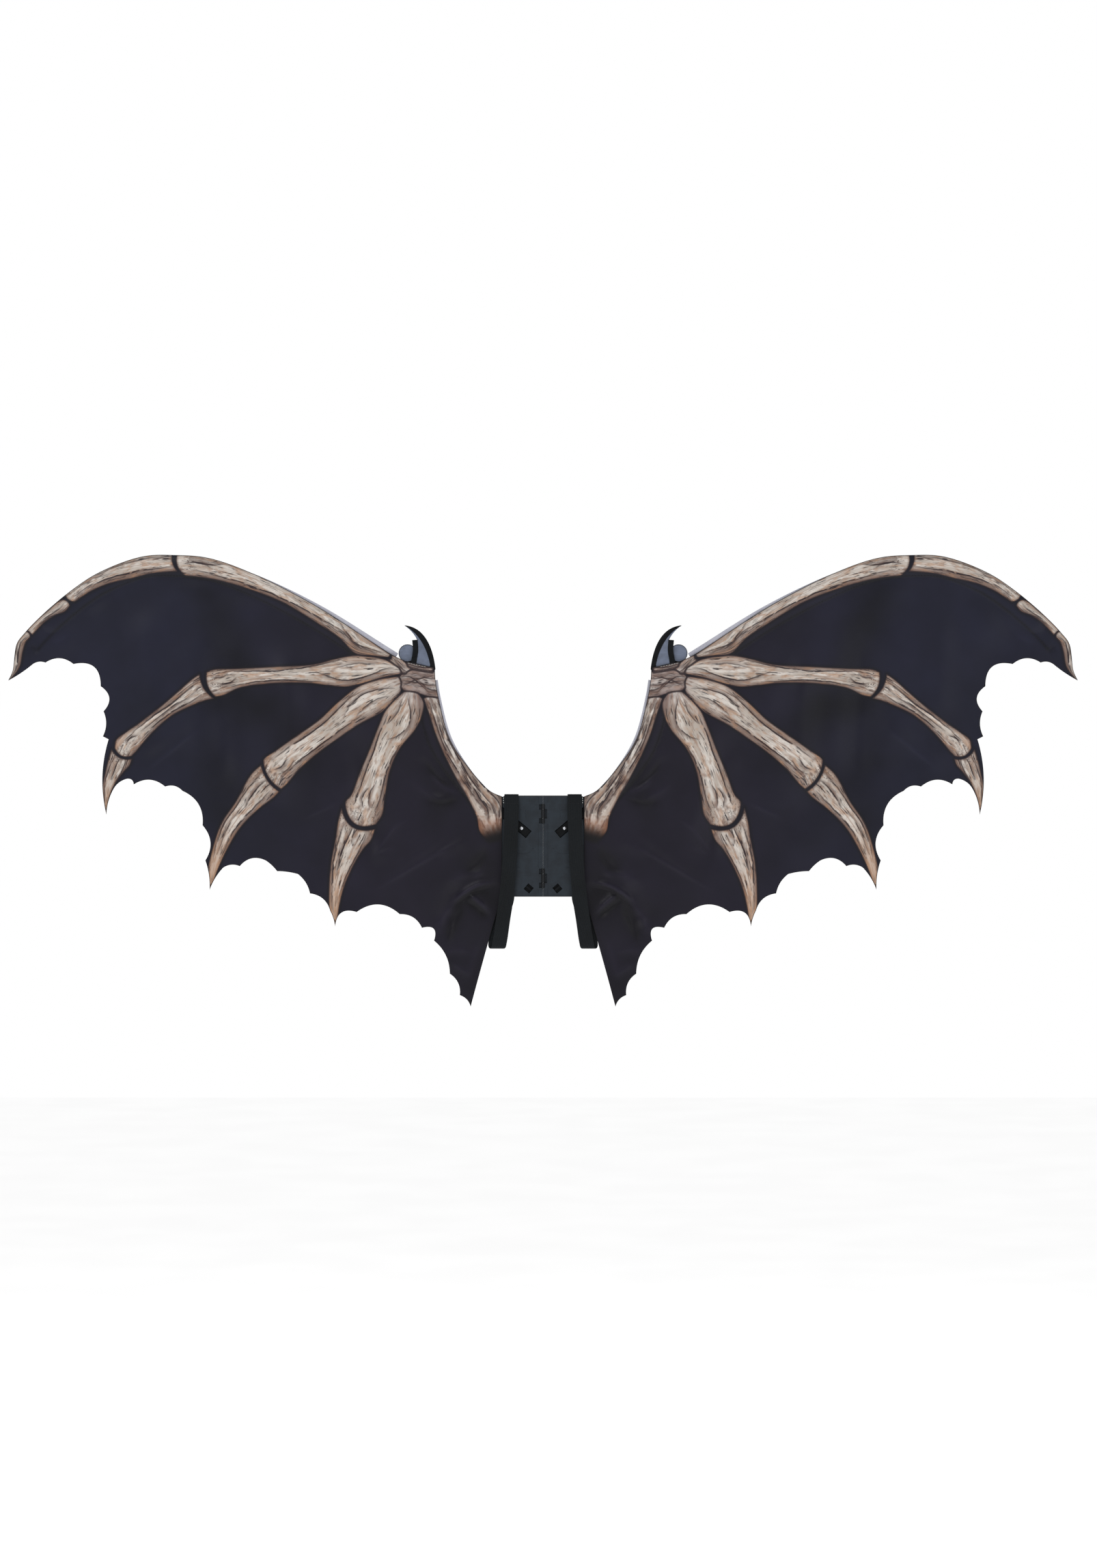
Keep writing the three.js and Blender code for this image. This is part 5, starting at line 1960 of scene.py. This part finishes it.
@dataclass
class BackPlate:
    """One half of the back plate, with its moulded lines, rivet, catch and pins."""

    nodes: dict[str, Piece]
    bevel: float = 0.45
    bevel_from: float = 40.0
    pin_bevel: float = 0.2
    line_step: float = 1.0
    line_width: float = 0.8
    line_rise: float = 0.3
    line_foot: float = 0.2
    line_round: float = 0.2
    lines: tuple[tuple[Point, ...], ...] = (
        ((38.0, -10.5), (20.6, -10.5), (16.8, -7.1)),
        ((37.0, -30.0), (31.0, -30.0)),
        ((34.0, 50.5), (25.0, 50.5)),
        ((24.0, 50.5), (24.0, 38.0)),
        ((6.6, 68.0), (6.6, 60.0)),
        ((6.6, 30.0), (6.6, -30.0)),
        ((6.6, -60.0), (6.6, -68.0)),
    )
    dot: Point = (13.9, -3.8)
    dot_profile: tuple[Point, ...] = ((0.1, -0.5), (0.6, -0.45), (0.9, -0.1), (0.9, 0.2))
    dot_around: int = 20
    rivet: Point = (30.0, 25.0)
    rivet_radius: float = 2.6
    rivet_base: float = 1.5
    rivet_rise: float = 1.4
    rivet_around: int = 32
    rivet_dome: tuple[Point, ...] = (
        (0.02, 1.0), (0.3, 0.97), (0.55, 0.85), (0.78, 0.62), (0.93, 0.34), (1.0, 0.06), (1.0, 0.0),
    )
    ridge: tuple[Point, ...] = ((31.2, 17.4), (27.0, 22.4))
    ridge_width: float = 1.0
    ridge_front: float = 1.3
    ridge_back: float = 2.0
    ridge_round: float = 0.25
    knots: tuple[Point, ...] = ((55.0, 67.0), (55.2, 63.8), (54.9, 60.6))
    knot_depth: float = -0.15
    knot_thread: Thread = Thread(1.9, 1.2)

    def soften(self, name: str, width: float, finish: Finish) -> None:
        """Rounds the edges of a construction piece and gives it its finish.

        Args:
            name: The piece's name.
            width: Width of the rounding.
            finish: The finish.
        """
        node = self.nodes[name]
        node.data.materials.clear()
        node.data.materials.append(finish.material)
        bevel = node.modifiers.new("soft_edges", "BEVEL")
        bevel.width = width * MM
        bevel.segments = 2
        bevel.limit_method = "ANGLE"
        bevel.angle_limit = math.radians(self.bevel_from)

    def build(self, side: Side) -> Piece:
        """Dresses the half plate.

        Args:
            side: The half.

        Returns:
            The moulded lines.
        """
        self.soften(side.named("plate"), self.bevel, Finish.PLATE)
        self.soften(side.named("catch"), self.bevel / 2, Finish.BLACK)
        self.soften(side.named("wrist_pin"), self.bevel / 2, Finish.STEEL)
        draft = MeshDraft()
        for corners in self.lines:
            line = even_points(np.array(corners), self.line_step)
            draft.skin(bar_rings(line, self.line_width, -self.line_rise, self.line_foot, self.line_round))
        draft.skin(lathe(self.dot, self.dot_profile, self.dot_around))
        moulding = draft.build("plate_lines", side, (Finish.PLATE,), "plate")
        self.build_rivet(side)
        self.build_knots(side)
        return moulding

    def build_rivet(self, side: Side) -> None:
        """Makes the domed button on the arm's foot and the small ridge beside it.

        Args:
            side: The half.
        """
        profile = [(self.rivet_radius * r, self.rivet_base - self.rivet_rise * h) for r, h in self.rivet_dome]
        button = MeshDraft()
        button.skin(lathe(self.rivet, profile, self.rivet_around))
        button.build("rivet_button", side, (Finish.STEEL,), "metal", "arm_rivet")
        line = even_points(np.array(self.ridge), self.line_step)
        ridge = MeshDraft()
        ridge.skin(bar_rings(line, self.ridge_width, self.ridge_front, self.ridge_back, self.ridge_round))
        ridge.build("foot_ridge", side, (Finish.BLACK,), "arm")

    def build_knots(self, side: Side) -> None:
        """Makes the few pale stitches at the plate's top outer corner.

        Args:
            side: The half.
        """
        up, out = np.array([0.0, 0.0, 1.0]), np.array([0.0, -1.0, 0.0])
        draft = MeshDraft()
        for u, z in self.knots:
            draft.skin(self.knot_thread.stitch(np.array([u, self.knot_depth, z]), up, out))
        draft.build("corner_stitches", side, (Finish.PALE_THREAD,), "casing")


@dataclass
class Strap:
    """A shoulder strap of ribbed elastic."""

    smooth_below: float = 65.0
    width: float = 20.0
    wall: float = 1.5
    ribs: int = 13
    rib_points: int = 4
    rib_rise: float = 0.22
    step: float = 2.5
    edge_power: int = 24
    edge_least: float = 0.05
    braid: float = 0.12
    braid_length: float = 2.6
    braid_from: float = 0.97
    seam_height: float = 58.5
    seam_depth: float = 0.3
    seam_width: float = 1.4
    seam_thread: Thread = Thread(2.0, 0.5)
    seam_reach: float = 0.85
    seam_stitches: int = 7
    seam_sink: float = 0.2

    def build(self, side: Side) -> Piece:
        """Makes the strap and its seam.

        Args:
            side: The half.

        Returns:
            The strap.
        """
        line = curve_through(STRAP_ROUTE, self.step)
        along = np.gradient(line, axis=0)
        along[:, 0] = 0.0
        along /= np.linalg.norm(along, axis=1, keepdims=True)
        out = np.column_stack([np.zeros(len(line)), along[:, 2], -along[:, 1]])
        share = np.linspace(-1.0, 1.0, self.ribs * self.rib_points + 1)
        rib = 0.5 + 0.5 * np.cos(math.pi * self.ribs * (share + 1.0) + math.pi)
        edge = np.sqrt(np.clip(1.0 - np.abs(share) ** self.edge_power, self.edge_least, 1.0))
        rings = []
        run = 0.0
        for number, place in enumerate(line):
            run += float(np.linalg.norm(place - line[max(number - 1, 0)]))
            wave = self.braid * math.sin(2 * math.pi * run / self.braid_length)
            from_seam = (place[2] - self.seam_height) / self.seam_width
            seam = math.exp(-(from_seam**2)) if place[1] < 0 else 0.0
            half = (self.wall / 2 - self.rib_rise * (1.0 - rib)) * edge - self.seam_depth * seam * edge
            reach = share * (self.width / 2 + np.where(np.abs(share) > self.braid_from, wave, 0.0))
            across = place + np.outer(reach, (1.0, 0.0, 0.0))
            lift = half[:, None] * out[number]
            rings.append(np.vstack([across + lift, (across - lift)[::-1]]))
        draft = MeshDraft()
        draft.skin(np.array(rings)[:, ::-1])
        strap = draft.build("strap_elastic", side, (Finish.ELASTIC,), "strap", "strap", self.smooth_below)
        attribute = strap.data.attributes.new("rib", "FLOAT", "POINT")
        attribute.data.foreach_set("value", np.tile(np.concatenate([rib, rib]), len(line)).astype(np.float32))
        seam = self.sewn_seam(line, out).build("strap_stitches", side, (Finish.THREAD,), "strap")
        return strap

    def sewn_seam(self, line: Array, out: Array) -> MeshDraft:
        """The row of stitches across the strap below the plate's top edge.

        Args:
            line: The strap's middle line.
            out: Unit vectors away from the strap's face.

        Returns:
            The stitches as one draft.
        """
        front = np.flatnonzero((line[:, 1] < 0) & (line[:, 2] > 0))
        at = int(front[np.argmin(np.abs(line[front, 2] - self.seam_height))])
        across = np.array([1.0, 0.0, 0.0])
        draft = MeshDraft()
        for share in np.linspace(-self.seam_reach, self.seam_reach, self.seam_stitches):
            middle = line[at] + across * (share * self.width / 2)
            middle = middle - out[at] * (-self.wall / 2 + self.seam_sink)
            draft.skin(self.seam_thread.stitch(middle, across, out[at]))
        return draft


@dataclass(frozen=True)
class Lamp:
    """A square soft light: its name, its place and size in metres, and its power in watts."""

    name: str
    place: tuple[float, float, float]
    size: float
    power: float

    def build(self) -> None:
        """Adds the light, facing the wings."""
        data = bpy.data.lights.new(self.name, "AREA")
        data.shape = "SQUARE"
        data.size = self.size
        data.energy = self.power
        light = bpy.data.objects.new(self.name, data)
        light.location = self.place
        light.rotation_euler = (-Vector(self.place)).to_track_quat("-Z", "Y").to_euler()
        bpy.context.scene.collection.objects.link(light)


@dataclass
class Studio:
    """Camera at the photo's angle, a pale floor and soft light."""

    distance: float = 5.0
    aim: Point = (0.0076, 0.0866)
    frame_height: float = 2.1858
    sensor: float = 36.0
    floor_height: float = -1.4
    floor_size: float = 24.0
    floor_glow: float = 0.55
    sky: float = 0.46
    white: Colour = (1.0, 1.0, 1.0, 1.0)
    lamps: tuple[Lamp, ...] = (
        Lamp("key", (-1.6, -3.2, 2.6), 2.2, 46.0),
        Lamp("fill", (2.6, -2.8, 0.8), 2.4, 17.0),
        Lamp("rear", (0.6, 3.4, 2.6), 2.6, 36.0),
    )

    def build(self) -> None:
        """Makes the camera, the floor, the sky and the lights."""
        self.build_camera()
        self.build_floor()
        self.build_sky()
        for lamp in self.lamps:
            lamp.build()

    def build_camera(self) -> None:
        """Places the camera square to the wings, as in the photo."""
        data = bpy.data.cameras.new("photo_camera")
        data.sensor_width = self.sensor
        data.lens = self.sensor * self.distance / self.frame_height
        camera = bpy.data.objects.new("photo_camera", data)
        camera.location = (self.aim[0], -self.distance, self.aim[1])
        camera.rotation_euler = (math.pi / 2, 0.0, 0.0)
        bpy.context.scene.collection.objects.link(camera)
        bpy.context.scene.camera = camera

    def build_floor(self) -> None:
        """Lays a wide pale floor below the wings."""
        half = self.floor_size / 2
        mesh = bpy.data.meshes.new("floor")
        corners = [(-half, -half, 0), (half, -half, 0), (half, half, 0), (-half, half, 0)]
        mesh.from_pydata(corners, [], [(0, 1, 2, 3)])
        floor = bpy.data.objects.new("floor", mesh)
        floor.location.z = self.floor_height
        bpy.context.scene.collection.objects.link(floor)
        shader = Shader("pale_floor")
        grain = shader.noise(shader.place(), 3.0, 2.0)
        shader.set(
            Base_Color=shader.blend(shader.ramp(grain, 0.3, 0.7), tint(240, 240, 240), tint(246, 246, 246)),
            Roughness=0.9,
            Emission_Color=self.white,
            Emission_Strength=self.floor_glow,
        )
        mesh.materials.append(shader.material)

    def build_sky(self) -> None:
        """Gives soft light from all round, with a white backdrop behind."""
        world = bpy.data.worlds.new("studio")
        world.use_nodes = True
        tree = world.node_tree
        tree.nodes.clear()
        kinds = ("OutputWorld", "MixShader", "LightPath", "Background", "Background")
        output, mix, path, soft, white = (tree.nodes.new(f"ShaderNode{kind}") for kind in kinds)
        soft.inputs["Strength"].default_value = self.sky
        soft.inputs["Color"].default_value = self.white
        white.inputs["Color"].default_value = self.white
        tree.links.new(path.outputs["Is Camera Ray"], mix.inputs[0])
        tree.links.new(soft.outputs[0], mix.inputs[1])
        tree.links.new(white.outputs[0], mix.inputs[2])
        tree.links.new(mix.outputs[0], output.inputs[0])
        bpy.context.scene.world = world
        bpy.context.scene.view_settings.view_transform = "Standard"
        bpy.context.scene.view_settings.look = "None"


def main() -> None:
    """Loads the construction model and dresses it piece by piece."""
    logging.basicConfig(level=logging.INFO, format="%(message)s")
    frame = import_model()
    Studio().build()
    for finish in Finish:
        LOG.info("finish %s", finish.material.name)
    plan = WingPlan()
    cloth = WingCloth(plan, BonePrint(BONES))
    LOG.info("cloth: %d points, %d triangles a layer", len(cloth.flat), len(cloth.faces))
    plate = BackPlate(frame["nodes"])
    builders = (
        cloth,
        Casing(plan, "casing_outer", TOP_EDGE[1:-3], "wing_arm", run_on=2.2),
        Casing(plan, "casing_inner", INNER_EDGE[1:-1], "claw_arm"),
        InnerArm(plan),
        OuterArm(plan),
        Strap(),
        plate,
    )
    for side in Side:
        for builder in builders:
            piece = builder.build(side)
            LOG.info("%s: %d faces", piece.name, len(piece.data.polygons))
    for name in ("hinge_pin_upper", "hinge_pin_lower"):
        plate.soften(name, plate.pin_bevel, Finish.STEEL)
        LOG.info("%s: construction piece in steel", name)


if __name__ == "__main__":
    main()
